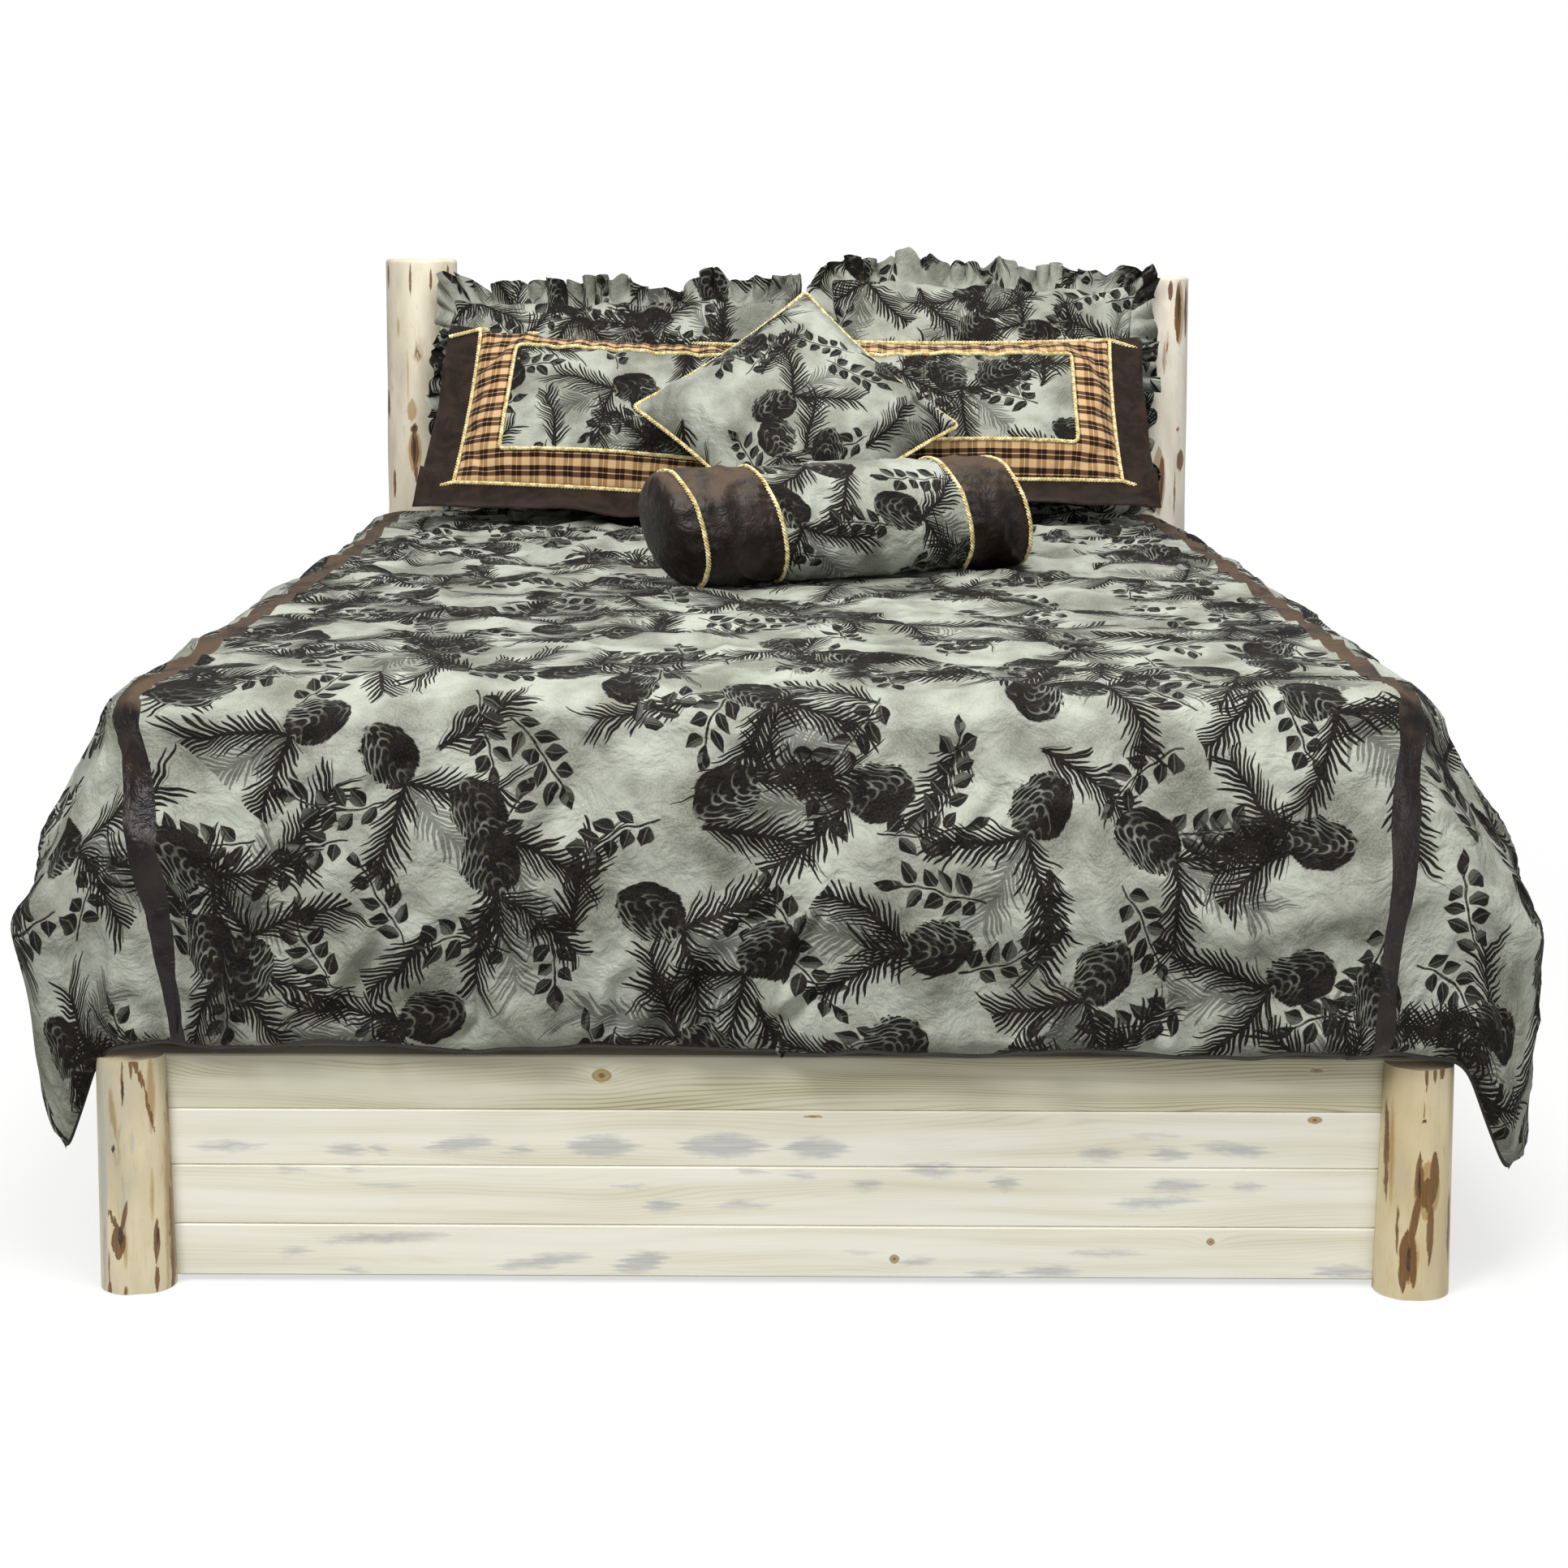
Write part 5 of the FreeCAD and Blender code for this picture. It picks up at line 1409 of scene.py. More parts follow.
    def hang(self, shoulder: float, knee: float, hem: float, knee_z: float, hem_z: float,
             foot: float) -> np.ndarray:
        """Draw one hang from the flat top over the shoulder and knee to the hem, at even steps; softer at the foot."""
        turn = 40.0 * MM
        drop = 67.0 * MM
        square = 0.72 + 0.20 * foot
        angle = np.linspace(0.0, 0.5 * math.pi, 24)
        curve = [(-self.base, self.top)]
        curve += [(-turn + (shoulder + turn) * math.sin(a) ** square,
                   self.top - drop + drop * abs(math.cos(a)) ** square) for a in angle]
        curve += [(knee, knee_z), (hem, hem_z)]
        points = self.even(np.array(curve), 220)
        return self.even(blur(points, bell(24, 3.5 + 5.0 * foot), mode="reflect", reflect_type="odd"), self.sections)

    @staticmethod
    def even(points: np.ndarray, count: int) -> np.ndarray:
        """Resample a line at even steps."""
        return resample(points, np.linspace(0.0, lengths_of(points)[-1], count))

    def cut_lines(self) -> tuple[np.ndarray, np.ndarray]:
        """Give the grid lines of the flat cut: across the bed, and from the head to the foot hem."""
        half = np.concatenate([np.linspace(0.0, self.band_low, 101), np.linspace(self.band_low, self.band_high, 6)[1:],
                               np.linspace(self.band_high, self.half_cut, 52)[1:]])
        return np.concatenate([-half[:0:-1], half]), np.linspace(0.0, self.length, int(self.length / self.pitch))

    def over(self, u: np.ndarray, v: np.ndarray) -> tuple[np.ndarray, np.ndarray]:
        """Give how far places on the cut lie over the bed's side and over its foot."""
        return np.maximum(np.abs(u) - self.half_width, 0.0), np.maximum(v - self.run, 0.0)

    def lay(self, u: np.ndarray, v: np.ndarray) -> tuple[np.ndarray, np.ndarray, np.ndarray]:
        """Lay the flat cut over the bed.

        Args:
            u: places across the cut, in metres from its middle.
            v: places down the cut, in metres from its head edge.
        Returns:
            The points, how far down the hang each lies from 0 to 1, and its place around the bed from 0 to 3.
        """
        steps, table = self.section_table()
        side = np.sign(u) + (u == 0)
        out, down = self.over(u, v)
        depth = np.maximum(self.head_depth - v, self.corner_depth)
        cloth_angle = np.degrees(np.arctan2(down, np.maximum(out, 1e-9)))
        bed_angle = np.interp(cloth_angle, self.cloth_turn, self.bed_turn)
        in_corner = (out > 0) & (down > 0)
        angle = np.where(in_corner, bed_angle, np.where(out > 0, 0.0, 90.0))
        place = np.where(in_corner, 1.0 + angle / 90.0,
                         np.where(out > 0, np.clip((self.head_depth - depth) / self.run, 0, 1),
                                  3.0 - np.clip(np.abs(u) / self.half_width, 0, 1)))
        hang = np.hypot(out, down)
        tangent = np.radians(cloth_angle)
        limit = np.minimum(self.side_drop / np.maximum(np.cos(tangent), 1e-6),
                           self.foot_drop / np.maximum(np.sin(tangent), 1e-6))
        limit = np.where(in_corner, limit, np.where(out > 0, self.side_drop, self.foot_drop))
        share = np.clip(hang / limit, 0.0, 1.0)
        reach, height = self.look_up(table, place / 3.0 * (len(steps) - 1), share * (self.sections - 1))
        ray = np.radians(angle)
        left, right = (np.interp(share, self.swell_at, row) for row in (self.swell_left, self.swell_right))
        outward = (reach + self.base) * np.where(u < 0, left, right)
        tip = np.exp(-((place - self.tip_place) / 0.14) ** 2) * share ** 3
        height = height - np.where(u > 0, self.right_tip_drop, 0.0) * tip
        base_x = np.minimum(np.abs(u), self.half_width)
        way = np.where(out > 0, v, self.run) + base_x * np.sign(u)
        uneven = ripple(way, 0.0, 0.34, 17) * 3.0 + ripple(way, 0.0, 0.085, 18) * 1.8
        height = height + uneven * MM * share ** 5 * (1.0 - tip)
        x = base_x + np.where(hang > 0, outward * np.cos(ray), 0.0)
        y = depth - np.where(hang > 0, outward * np.sin(ray), 0.0)
        z = np.where(hang > 0, height, self.top)
        x = side * x - self.head_shift * np.clip(1.0 - v / self.head_shift_length, 0.0, 1.0) ** 1.4
        return np.stack([x, y - MIDDLE_Y, z], axis=-1), share * (hang > 0), place

    @staticmethod
    def look_up(table: np.ndarray, row: np.ndarray, column: np.ndarray) -> tuple[np.ndarray, np.ndarray]:
        """Read a table of points between its rows and columns."""
        r0 = np.clip(row.astype(int), 0, table.shape[0] - 2)
        c0 = np.clip(column.astype(int), 0, table.shape[1] - 2)
        fr, fc = (row - r0)[..., None], (column - c0)[..., None]
        value = ((table[r0, c0] * (1 - fr) + table[r0 + 1, c0] * fr) * (1 - fc)
                 + (table[r0, c0 + 1] * (1 - fr) + table[r0 + 1, c0 + 1] * fr) * fc)
        return value[..., 0], value[..., 1]

    def relief(self, u: np.ndarray, v: np.ndarray, share: np.ndarray, place: np.ndarray) -> np.ndarray:
        """Give how far the filled cloth stands out or in, in metres."""
        corner_way = 0.35
        way = np.where(place < 1.0, v, np.where(place < 2.0, self.run + (place - 1.0) * corner_way,
                                                self.run + corner_way + self.half_width - np.abs(u)))
        way = way + np.where(u > 0, 11.0, 0.0)  # the right side's folds fall in places of their own
        on_foot = np.clip((place - 1.6) / 0.4, 0, 1)
        folds = (np.sin(way * 2 * math.pi / 0.26 + ripple(way, 0.0, 0.6, 4) * 1.6)
                 + 0.6 * np.sin(way * 2 * math.pi / 0.145 + ripple(way, 0.0, 0.5, 9) * 1.5))
        height = folds * (9.0 - 1.5 * on_foot) * MM * share ** 1.3
        edge = np.minimum(self.half_cut - np.abs(u), self.length - v)
        pucker = np.sin(way * 2 * math.pi / 0.036 + ripple(way, 0.0, 0.16, 14) * 2.0)
        height += pucker * 4.2 * MM * np.exp(-edge / 0.040) * (share > 0.2)
        height += folded(ripple(u, v, 0.30, 21)) * 5.5 * MM + ripple(u, v, 0.15, 22) * 3.0 * MM
        height += folded(ripple(u, v, 0.11, 23, stretch=(1.0, 0.6)), 0.3) * 4.0 * MM * np.clip(share * 4.0, 0.35, 1.0)
        near_pillows = np.clip((0.98 - (v - 0.10)) / 0.35, 0, 1) * (share <= 0.02)
        ridge = folded(ripple(u, v, 0.12, 31, stretch=(0.40, 1.0)), 0.4) * 10.0 * MM
        height += (ridge + ripple(u, v, 0.055, 33, stretch=(0.5, 1.0)) * 2.4 * MM) * near_pillows
        height += folded(ripple(u, v, 0.20, 34, stretch=(0.35, 1.0)), 0.35) * 4.5 * MM * (share <= 0.05)
        height += folded(ripple(u, v, 0.16, 35, stretch=(1.0, 0.5)), 0.25) * 5.0 * MM * on_foot * share
        return height + self.creases(u, v)

    def creases(self, u: np.ndarray, v: np.ndarray) -> np.ndarray:
        """Raise the long creases of the foot's hang, which fan up from its hem.

        Each row has the crease's low and high end, across and up from the hem in metres, and its height and width in
        millimetres.
        """
        rows = [(-0.20, 0.02, -0.02, 0.20, 13.0, 14.0), (-0.245, 0.02, -0.17, 0.12, 9.0, 9.0),
                (-0.02, 0.02, 0.075, 0.13, 11.0, 10.0), (0.02, 0.09, 0.055, 0.24, 10.0, 6.0),
                (0.052, 0.22, 0.045, 0.38, 7.0, 6.0), (-0.40, 0.02, -0.375, 0.10, 10.0, 8.0),
                (-0.12, 0.01, -0.04, 0.08, 8.0, 8.0), (0.25, 0.01, 0.37, 0.06, 9.0, 9.0),
                (-0.56, 0.02, -0.48, 0.24, 7.0, 12.0), (0.44, 0.02, 0.41, 0.20, 7.0, 10.0),
                (0.60, 0.03, 0.57, 0.26, 7.0, 11.0), (-0.66, 0.04, -0.63, 0.36, 6.0, 12.0),
                (-0.34, 0.26, -0.20, 0.44, 5.0, 12.0), (0.20, 0.24, 0.30, 0.42, 5.0, 11.0),
                (-0.52, 0.30, -0.44, 0.46, 5.0, 12.0), (0.50, 0.28, 0.46, 0.46, 5.0, 11.0)]
        height = np.zeros_like(u)
        for u0, up0, u1, up1, size, width in rows:
            v0 = self.length - up0
            norm = math.hypot(u1 - u0, self.length - up1 - v0)
            du, dv = (u1 - u0) / norm, (self.length - up1 - v0) / norm
            t = np.clip(((u - u0) * du + (v - v0) * dv) / norm, -0.2, 1.2)
            off = (v - v0) * du - (u - u0) * dv + 0.012 * np.sin(t * 5.0 + u0 * 9.0)
            fade = np.clip(1.0 - np.abs(t - 0.45) / 0.62, 0, 1) ** 0.8
            off = off / (width * MM)
            height += size * 1.4 * MM * fade * (np.exp(-off ** 2) - 0.6 * np.exp(-((off - 1.9) / 1.1) ** 2))
        return height

    def build(self) -> bpy.types.Object:
        """Lay the cloth, fill it, close its hem and set the leather bands."""
        across, along = self.cut_lines()
        u, v = np.meshgrid(across, along)
        points, share, place = self.lay(u, v)
        normal = grid_normals(points)
        normal *= np.where(np.sum(normal * self.outward_hint(u, v), axis=-1, keepdims=True) < 0, -1.0, 1.0)
        edge = np.minimum(self.half_cut - np.abs(u), np.minimum(along[-1] - v, v + 0.004))
        full = np.sqrt(np.clip(1.0 - (1.0 - np.clip(edge / self.rounding, 0, 1)) ** 2, 0.0, 1.0))
        band = (np.abs(u) >= self.band_low - 1e-6) & (np.abs(u) <= self.band_high + 1e-6)
        height = self.relief(u, v, share, place) * full
        outer = points + normal * (height - (1.0 - full) * self.loft * 0.45 + band * 1.0 * MM)[..., None]
        inner = points - normal * (self.loft * (0.55 + 0.45 * full) - height * 0.4 * full)[..., None]
        inner[..., 2] -= (1.0 - full) * 6.0 * MM
        rows, columns = u.shape
        count = rows * columns
        vertices = np.concatenate([outer.reshape(-1, 3), inner.reshape(-1, 3)])
        uvs = np.concatenate([np.stack([u, v], -1).reshape(-1, 2)] * 2)
        quads = quads_of(rows, columns)
        rim = self.rim(rows, columns, count)
        mesh = mesh_of("comforter", vertices, np.concatenate([quads[:, ::-1], quads + count, rim]), uvs)
        wear(mesh, PRINT, LEATHER, PlainCloth("comforter_lining", "#1c1916", "#2a2622", 3.0))
        middle_u = np.abs(u[:-1, :-1] + u[:-1, 1:]) * 0.5
        banded = (middle_u > self.band_low) & (middle_u < self.band_high)
        choose(mesh, np.concatenate([banded.ravel(), np.full(len(quads) + len(rim), 2)]))
        piece = enlist(new_object("comforter_quilt", mesh))
        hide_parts("comforter")
        return piece

    def outward_hint(self, u: np.ndarray, v: np.ndarray) -> np.ndarray:
        """Give a rough outward direction at each point."""
        out, down = self.over(u, v)
        return np.stack([np.sign(u) * out, -down, np.full_like(u, 0.08)], axis=-1)

    @staticmethod
    def rim(rows: int, columns: int, count: int) -> np.ndarray:
        """List the quads that close the quilt's edge."""
        loop = border_of(np.arange(rows * columns).reshape(rows, columns))
        after = np.roll(loop, -1)
        return np.stack([loop, after, after + count, loop + count], axis=-1)


# pillows

@dataclass
class PillowShell:
    """Two panels sewn at their edges, as a grid whose back panel follows its front panel."""

    name: str
    width: float
    height: float
    columns: int
    rows: int
    loft: float
    seed: int
    shift: tuple[float, float] = (0.0, 0.0)
    pinch: float = 6.0 * MM
    wave: float = 0.0
    reach: float = 13.0 * MM

    def sew(self) -> bpy.types.Object:
        """Sew the shell as a soft dome and name its seam."""
        x = np.linspace(-0.5, 0.5, self.columns) * self.width
        z = np.linspace(0.0, 1.0, self.rows) * self.height
        gx, gz = np.meshgrid(x, z)
        sx = np.abs(gx) / (self.width * 0.5)
        sz = np.abs(gz / self.height * 2.0 - 1.0)
        dome = np.clip((1.0 - sx ** 2.8) * (1.0 - sz ** 2.8), 0, 1) ** 0.6
        near = (1.0 - np.abs(2.0 * dome - 1.0)) * 0.7 + 0.3 * dome
        wrinkle = folded(ripple(gx, gz, 0.13, self.seed), 0.35) * 4.0 + ripple(gx, gz, 0.05, self.seed + 1)
        out = dome * self.loft * 0.94 + wrinkle * MM * near
        uneven = self.wave * (ripple(gx, gz, 0.11, self.seed + 2) + 0.5 * ripple(gx, gz, 0.045, self.seed + 3))
        bow_x = gx - np.sign(gx) * (self.pinch * sx ** 4 * (1.0 - sz ** 2) + uneven * sx ** 8)
        bow_z = gz - np.sign(gz - self.height * 0.5) * (self.pinch * sz ** 4 * (1.0 - sx ** 2) + uneven * sz ** 8)
        front, back = (np.stack([bow_x, away, bow_z], -1) for away in (-out, out))
        count = self.rows * self.columns
        number = np.arange(count).reshape(self.rows, self.columns)
        back_number = number.copy()
        back_number[1:-1, 1:-1] = np.arange((self.rows - 2) * (self.columns - 2)).reshape(self.rows - 2, -1) + count
        self.points = np.concatenate([front.reshape(-1, 3), back[1:-1, 1:-1].reshape(-1, 3)])
        flat = np.stack([gx, gz], -1) + np.array(self.shift) * MM
        uvs = np.concatenate([flat.reshape(-1, 2), flat[1:-1, 1:-1].reshape(-1, 2)])
        quads = quads_of(self.rows, self.columns)
        mesh = mesh_of(self.name, self.points, np.concatenate([quads, back_number.ravel()[quads][:, ::-1]]), uvs)
        self.piece = new_object(self.name, mesh)
        self.border = border_of(number)
        self.piece.vertex_groups.new(name="seam").add([int(i) for i in self.border], 1.0, "REPLACE")
        return self.piece

    def finish(self) -> tuple[bpy.types.Object, np.ndarray, np.ndarray]:
        """Keep the blown-up cloth within reach of its dome.

        Returns:
            The object, the front panel's points as rows by columns, and the seam's points in order.
        """
        co = points_of(self.piece.data)
        move = co - self.points
        size = np.linalg.norm(move, axis=1, keepdims=True)
        co = self.points + move * np.minimum(1.0, self.reach / np.maximum(size, 1e-9))
        move_points(self.piece.data, co)
        return self.piece, co[:self.rows * self.columns].reshape(self.rows, self.columns, 3), co[self.border]


CLOTH = {
    "quality": 5, "mass": 0.25, "tension_stiffness": 14.0, "compression_stiffness": 14.0, "shear_stiffness": 6.0,
    "bending_stiffness": 0.4, "vertex_group_mass": "seam", "pin_stiffness": 1.0, "shrink_min": -0.045,
    "use_pressure": True,
}


def blow_up(shells: Sequence[PillowShell], pressure: float, frames: int) -> None:
    """Blow the shells up together: the cloth grows a little inside its fixed seam and buckles along it.

    Args:
        shells: the sewn shells, whose meshes are replaced.
        pressure: the air's pressure.
        frames: how many frames it takes.
    """
    scene = bpy.context.scene
    for shell in shells:
        cloth = shell.piece.modifiers.new("cloth", "CLOTH")
        settings = cloth.settings
        for name, value in CLOTH.items():
            setattr(settings, name, value)
        settings.uniform_pressure_force = pressure
        settings.effector_weights.gravity = 0.0
        cloth.collision_settings.use_collision = False
        cloth.point_cache.frame_start = 1
        cloth.point_cache.frame_end = frames
    for number in range(1, frames + 1):
        scene.frame_set(number)
    view = bpy.context.evaluated_depsgraph_get()
    for shell in shells:
        mesh = bpy.data.meshes.new_from_object(shell.piece.evaluated_get(view))
        shell.piece.modifiers.clear()
        shell.piece.data = mesh
    scene.frame_set(1)


def smooth_once(piece: bpy.types.Object) -> None:
    """Add one level of subdivision and keep it."""
    modifier = piece.modifiers.new("smooth", "SUBSURF")
    modifier.levels = modifier.render_levels = 1
    view = bpy.context.evaluated_depsgraph_get()
    mesh = bpy.data.meshes.new_from_object(piece.evaluated_get(view))
    piece.modifiers.remove(modifier)
    piece.data = mesh


def twisted_cord(name: str, path: np.ndarray, closed: bool) -> bpy.types.Mesh:
    """Twist strands along a path into a piping cord.

    Args:
        name: the mesh's name.
        path: the points to follow.
        closed: whether the path is a loop.
    Returns:
        The mesh.
    """
    points = np.vstack([path, path[:1]]) if closed else path
    total = lengths_of(points)[-1]
    steps, window, ring = 8, 5, 6
    line = resample(points, np.linspace(0.0, total, max(round(total / CORD_LAY), 1) * steps + 1))
    if closed:
        line = line[:-1]
        line = sum(np.roll(line, s, axis=0) for s in range(-window, window + 1)) / (2 * window + 1)
        tangent = unit(np.roll(line, -1, axis=0) - np.roll(line, 1, axis=0))
    else:
        tangent = unit(np.gradient(line, axis=0))
    side = unit(np.cross(tangent, [0.05, -1.0, 0.1]))
    over = np.cross(side, tangent)

    def away(turn: np.ndarray) -> np.ndarray:
        """Point away from the line at this turn around it."""
        return side[:, None] * np.cos(turn)[..., None] + over[:, None] * np.sin(turn)[..., None]

    phase = np.arange(len(line))[:, None] * 2.0 * math.pi / steps
    around = away(np.arange(ring)[None, :] * 2.0 * math.pi / ring) * CORD_RADIUS * 0.47
    base = [tuple(f) for f in quads_of(len(line), ring, wrap=True)] if closed else tube_faces(len(line), ring)
    if closed:
        last = (len(line) - 1) * ring
        base += [(last + k, last + (k + 1) % ring, (k + 1) % ring, k) for k in range(ring)]
    vertices, faces = [], []
    for strand in range(CORD_STRANDS):
        start = strand * len(line) * ring
        core = line[:, None] + away(phase + strand * 2.0 * math.pi / CORD_STRANDS) * CORD_RADIUS * 0.54
        vertices.append((core + around).reshape(-1, 3))
        faces += [tuple(int(number) + start for number in face) for face in base]
    return mesh_of(name, np.concatenate(vertices), faces)


def gold_cord(name: str, path: np.ndarray, closed: bool = True) -> bpy.types.Object:
    """Lay a gold piping cord along a path."""
    mesh = twisted_cord(name, path, closed)
    wear(mesh, GOLD)
    return enlist(new_object(name, mesh))


@dataclass
class Leaning:
    """How a pillow lies: its lean back in degrees and the place of its lower edge, in metres."""

    lean: float
    x: float
    y: float
    z: float
    turn: float = 0.0

    def matrix(self) -> Matrix:
        """Give the move from the pillow's own frame to the bed's."""
        return (Matrix.Translation((self.x, self.y, self.z)) @ Matrix.Rotation(math.radians(-self.lean), 4, "X")
                @ Matrix.Rotation(math.radians(self.turn), 4, "Y"))


def settle(pieces: Sequence[bpy.types.Object], leaning: Leaning) -> None:
    """Move the pieces of one pillow to their place and let what would sink into the comforter lie on it."""
    give = 4.0 * MM
    for piece in pieces:
        piece.data.transform(leaning.matrix())
        co = points_of(piece.data)
        under = QUILT_TOP - co[:, 2]
        sunk = under > -give
        co[sunk, 2] = QUILT_TOP + give * np.exp(-(under[sunk] + give) / give)
        move_points(piece.data, co)


@dataclass
class FlangedSham:
    """A sham with a printed panel, a plaid border, two rows of gold cord and a suede flange."""

    name: str
    node: str
    leaning: Leaning
    shift: tuple[float, float]
    seed: int
    width: float = 604.0 * MM
    height: float = 360.0 * MM
    loft: float = 50.0 * MM
    border: tuple[float, float] = (86.0 * MM, 64.0 * MM)
    flange: tuple[float, float, float] = (68.0 * MM, 72.0 * MM, 15.0 * MM)

    def __post_init__(self) -> None:
        """Cut the shell."""
        self.shell = PillowShell(self.name, self.width, self.height, 61, 37, self.loft, self.seed, self.shift)

    def build(self) -> bpy.types.Object:
        """Dress, edge and lean the filled sham."""
        piece, front, seam = self.shell.finish()
        self.dress(piece)
        smooth_once(piece)
        enlist(piece)
        trims = [self.make_flange(seam), gold_cord(f"{self.name}_inner_cord", self.inner_line(front))]
        trims += [gold_cord(f"{self.name}_{name}_cord", line, False) for name, line in self.outer_lines(seam).items()]
        settle([piece, *trims], self.leaning)
        hang_on(piece, trims)
        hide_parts(self.node)
        return piece

    def dress(self, piece: bpy.types.Object) -> None:
        """Give the front its panel and border and the back its plain print."""
        wear(piece.data, PRINT, PLAID)
        side, rise = self.border
        columns, rows = self.shell.columns - 1, self.shell.rows - 1
        c, r = np.meshgrid(np.arange(columns), np.arange(rows))
        gx, gz = (c + 0.5) / columns * self.width, (r + 0.5) / rows * self.height
        inside = (np.minimum(gx, self.width - gx) > side) & (np.minimum(gz, self.height - gz) > rise)
        choose(piece.data, np.concatenate([np.where(inside, 0, 1).ravel(), np.zeros(columns * rows, int)]))

    def inner_line(self, front: np.ndarray) -> np.ndarray:
        """Find the line between panel and border on the filled front."""
        rows, columns = front.shape[:2]
        c = round(self.border[0] / self.width * (columns - 1))
        r = round(self.border[1] / self.height * (rows - 1))
        return border_of(front[r:rows - r, c:columns - c]) - [0.0, 2.5 * MM, 0.0]

    def outer_lines(self, seam: np.ndarray) -> dict[str, np.ndarray]:
        """Run cords along the seam: the low and high ones on to the flange's outer edge, the others between them."""
        columns, rows = self.shell.columns, self.shell.rows
        seam = seam - [0.0, 3.0 * MM, 0.0]
        lines = {"left": np.vstack([seam[2 * columns + rows - 3:], seam[:1]]),
                 "right": seam[columns - 1:columns + rows - 1]}
        reach = self.flange[0] * np.linspace(0.92, 0.1, 7)[:, None]
        for name, line in (("low", seam[:columns]), ("high", seam[columns + rows - 2:2 * columns + rows - 2][::-1])):
            lines[name] = np.vstack([line[0] + reach * [-1.0, 0.0, -0.4], line,
                                     line[-1] + reach[::-1] * [1.0, 0.0, -0.4]])
        return lines

    def make_flange(self, seam: np.ndarray) -> bpy.types.Object:
        """Grow the suede flange out of the seam: its low side curls forward, its high side folds back."""
        centre = [0.0, 0.0, self.height * 0.5]
        side, low, high = self.flange
        rows = []
        mid_x, mid_z = self.width * 0.5, self.height * 0.5
        for share in np.concatenate([[-0.12], np.linspace(0.0, 1.0, 9)]):
            ring = seam - centre
            ring[:, 0] *= (mid_x + side * share) / mid_x
            ring[:, 2] *= np.where(ring[:, 2] < 0, (mid_z + low * share) / mid_z, (mid_z + high * share) / mid_z)
            wave = ripple(ring[:, 0], ring[:, 2], 0.16, self.seed + 3) * 7.0 * MM
            curl = np.where(ring[:, 2] < -mid_z * 0.9, -26.0, 0.0) + np.where(ring[:, 2] > mid_z * 0.97, 12.0, 0.0)
            near = max(share, 0.0)
            ring[:, 1] = ring[:, 1] * (1.0 - near) + wave * near + (2.0 * near + curl * near ** 2) * MM
            rows.append(ring + centre)
        points = np.array(rows)
        thick = [0.0, 1.6 * MM, 0.0]
        skin = np.concatenate([points - thick, (points + thick)[::-1]])
        mesh = mesh_of(self.name + "_flange", skin.reshape(-1, 3), quads_of(len(skin), points.shape[1], wrap=True))
        wear(mesh, SUEDE)
        return enlist(new_object(self.name + "_flange", mesh))


@dataclass
class RuffledSham:
    """A printed sham with a gathered ruffle sewn round it."""

    name: str
    node: str
    ruffle_node: str
    leaning: Leaning
    width: float
    height: float
    shift: tuple[float, float]
    seed: int
    loft: float = 54.0 * MM
    depth: float = 46.0 * MM
    shrink: float = 1.08
    pitch: float = 2.4 * MM

    def __post_init__(self) -> None:
        """Cut the shell."""
        self.shell = PillowShell(self.name, self.width, self.height, 65, 43, self.loft, self.seed, self.shift,
                                 wave=7.0 * MM)

    def build(self) -> bpy.types.Object:
        """Dress, gather and lean the filled sham."""
        piece, _, seam = self.shell.finish()
        wear(piece.data, PRINT)
        smooth_once(piece)
        mesh = self.gather(seam)
        cut_width = self.depth * self.shrink
        cut = (sum(face.area for face in mesh.polygons) / cut_width, cut_width)
        wear(mesh, PRINT)
        ruffle = enlist(new_object(mesh.name, mesh))
        settle([enlist(piece), ruffle], self.leaning)
        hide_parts(self.node)
        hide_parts(self.ruffle_node)
        return piece

    def gather(self, seam: np.ndarray) -> bpy.types.Mesh:
        """Gather a strip of the same print along the seam."""
        loop = np.vstack([seam, seam[:1]])
        total = lengths_of(loop)[-1]
        want = np.linspace(0.0, total, int(total / self.pitch), endpoint=False)
        base = resample(loop, want)
        out = base - [0.0, 0.0, self.height * 0.5]
        half = np.array([self.width * 0.5, 1.0, self.height * 0.5])
        grad = np.sign(out) * np.abs(out / half) ** 6.0 / half
        grad[:, 1] = 0.0
        out = blur(unit(grad), np.ones(9) / 9.0, mode="wrap")
        along = unit(np.roll(base, -1, axis=0) - base)
        phase = want * 2.0 * math.pi / 0.039 + ripple(want, 0.0, 0.17, self.seed + 20) * 2.6
        deep = self.depth * (1.0 + 0.22 * ripple(want, 0.0, 0.060, self.seed + 40)
                             + 0.08 * ripple(want, 0.0, 0.026, self.seed + 41))
        bottom = np.clip(-(base[:, 2] / self.height - 0.06) / 0.06, 0, 1)
        sides = np.clip(np.abs(base[:, 0]) / (self.width * 0.5) * 12.0 - 11.0, 0, 1)
        swing_size = (16.5 + 5.0 * ripple(want, 0.0, 0.13, self.seed + 50)) * (1.0 - 0.75 * bottom)
        steps = np.concatenate([[-0.16], np.linspace(0.0, 1.0, 11)])
        rows = []
        for share in steps:
            near = max(share, 0.0)
            swing = np.sin(phase + near * 0.5 * ripple(want, 0.0, 0.06, self.seed + 60)) * swing_size * near ** 0.8
            slip = np.cos(phase + 0.6) * 8.0 * near
            row = base + out * (deep * (1.0 - 0.85 * bottom) * share)[:, None] + along * (slip * MM)[:, None]
            row[:, 1] += (swing - near ** 2 * (4.0 + 16.0 * sides)) * MM
            rows.append(row)
        points = np.array(rows)
        uvs = np.stack(np.meshgrid(want * 1.5, steps * self.depth), -1).reshape(-1, 2) + self.shift[0] * MM
        return mesh_of(self.name + "_ruffle", points.reshape(-1, 3), quads_of(*points.shape[:2], wrap=True), uvs)


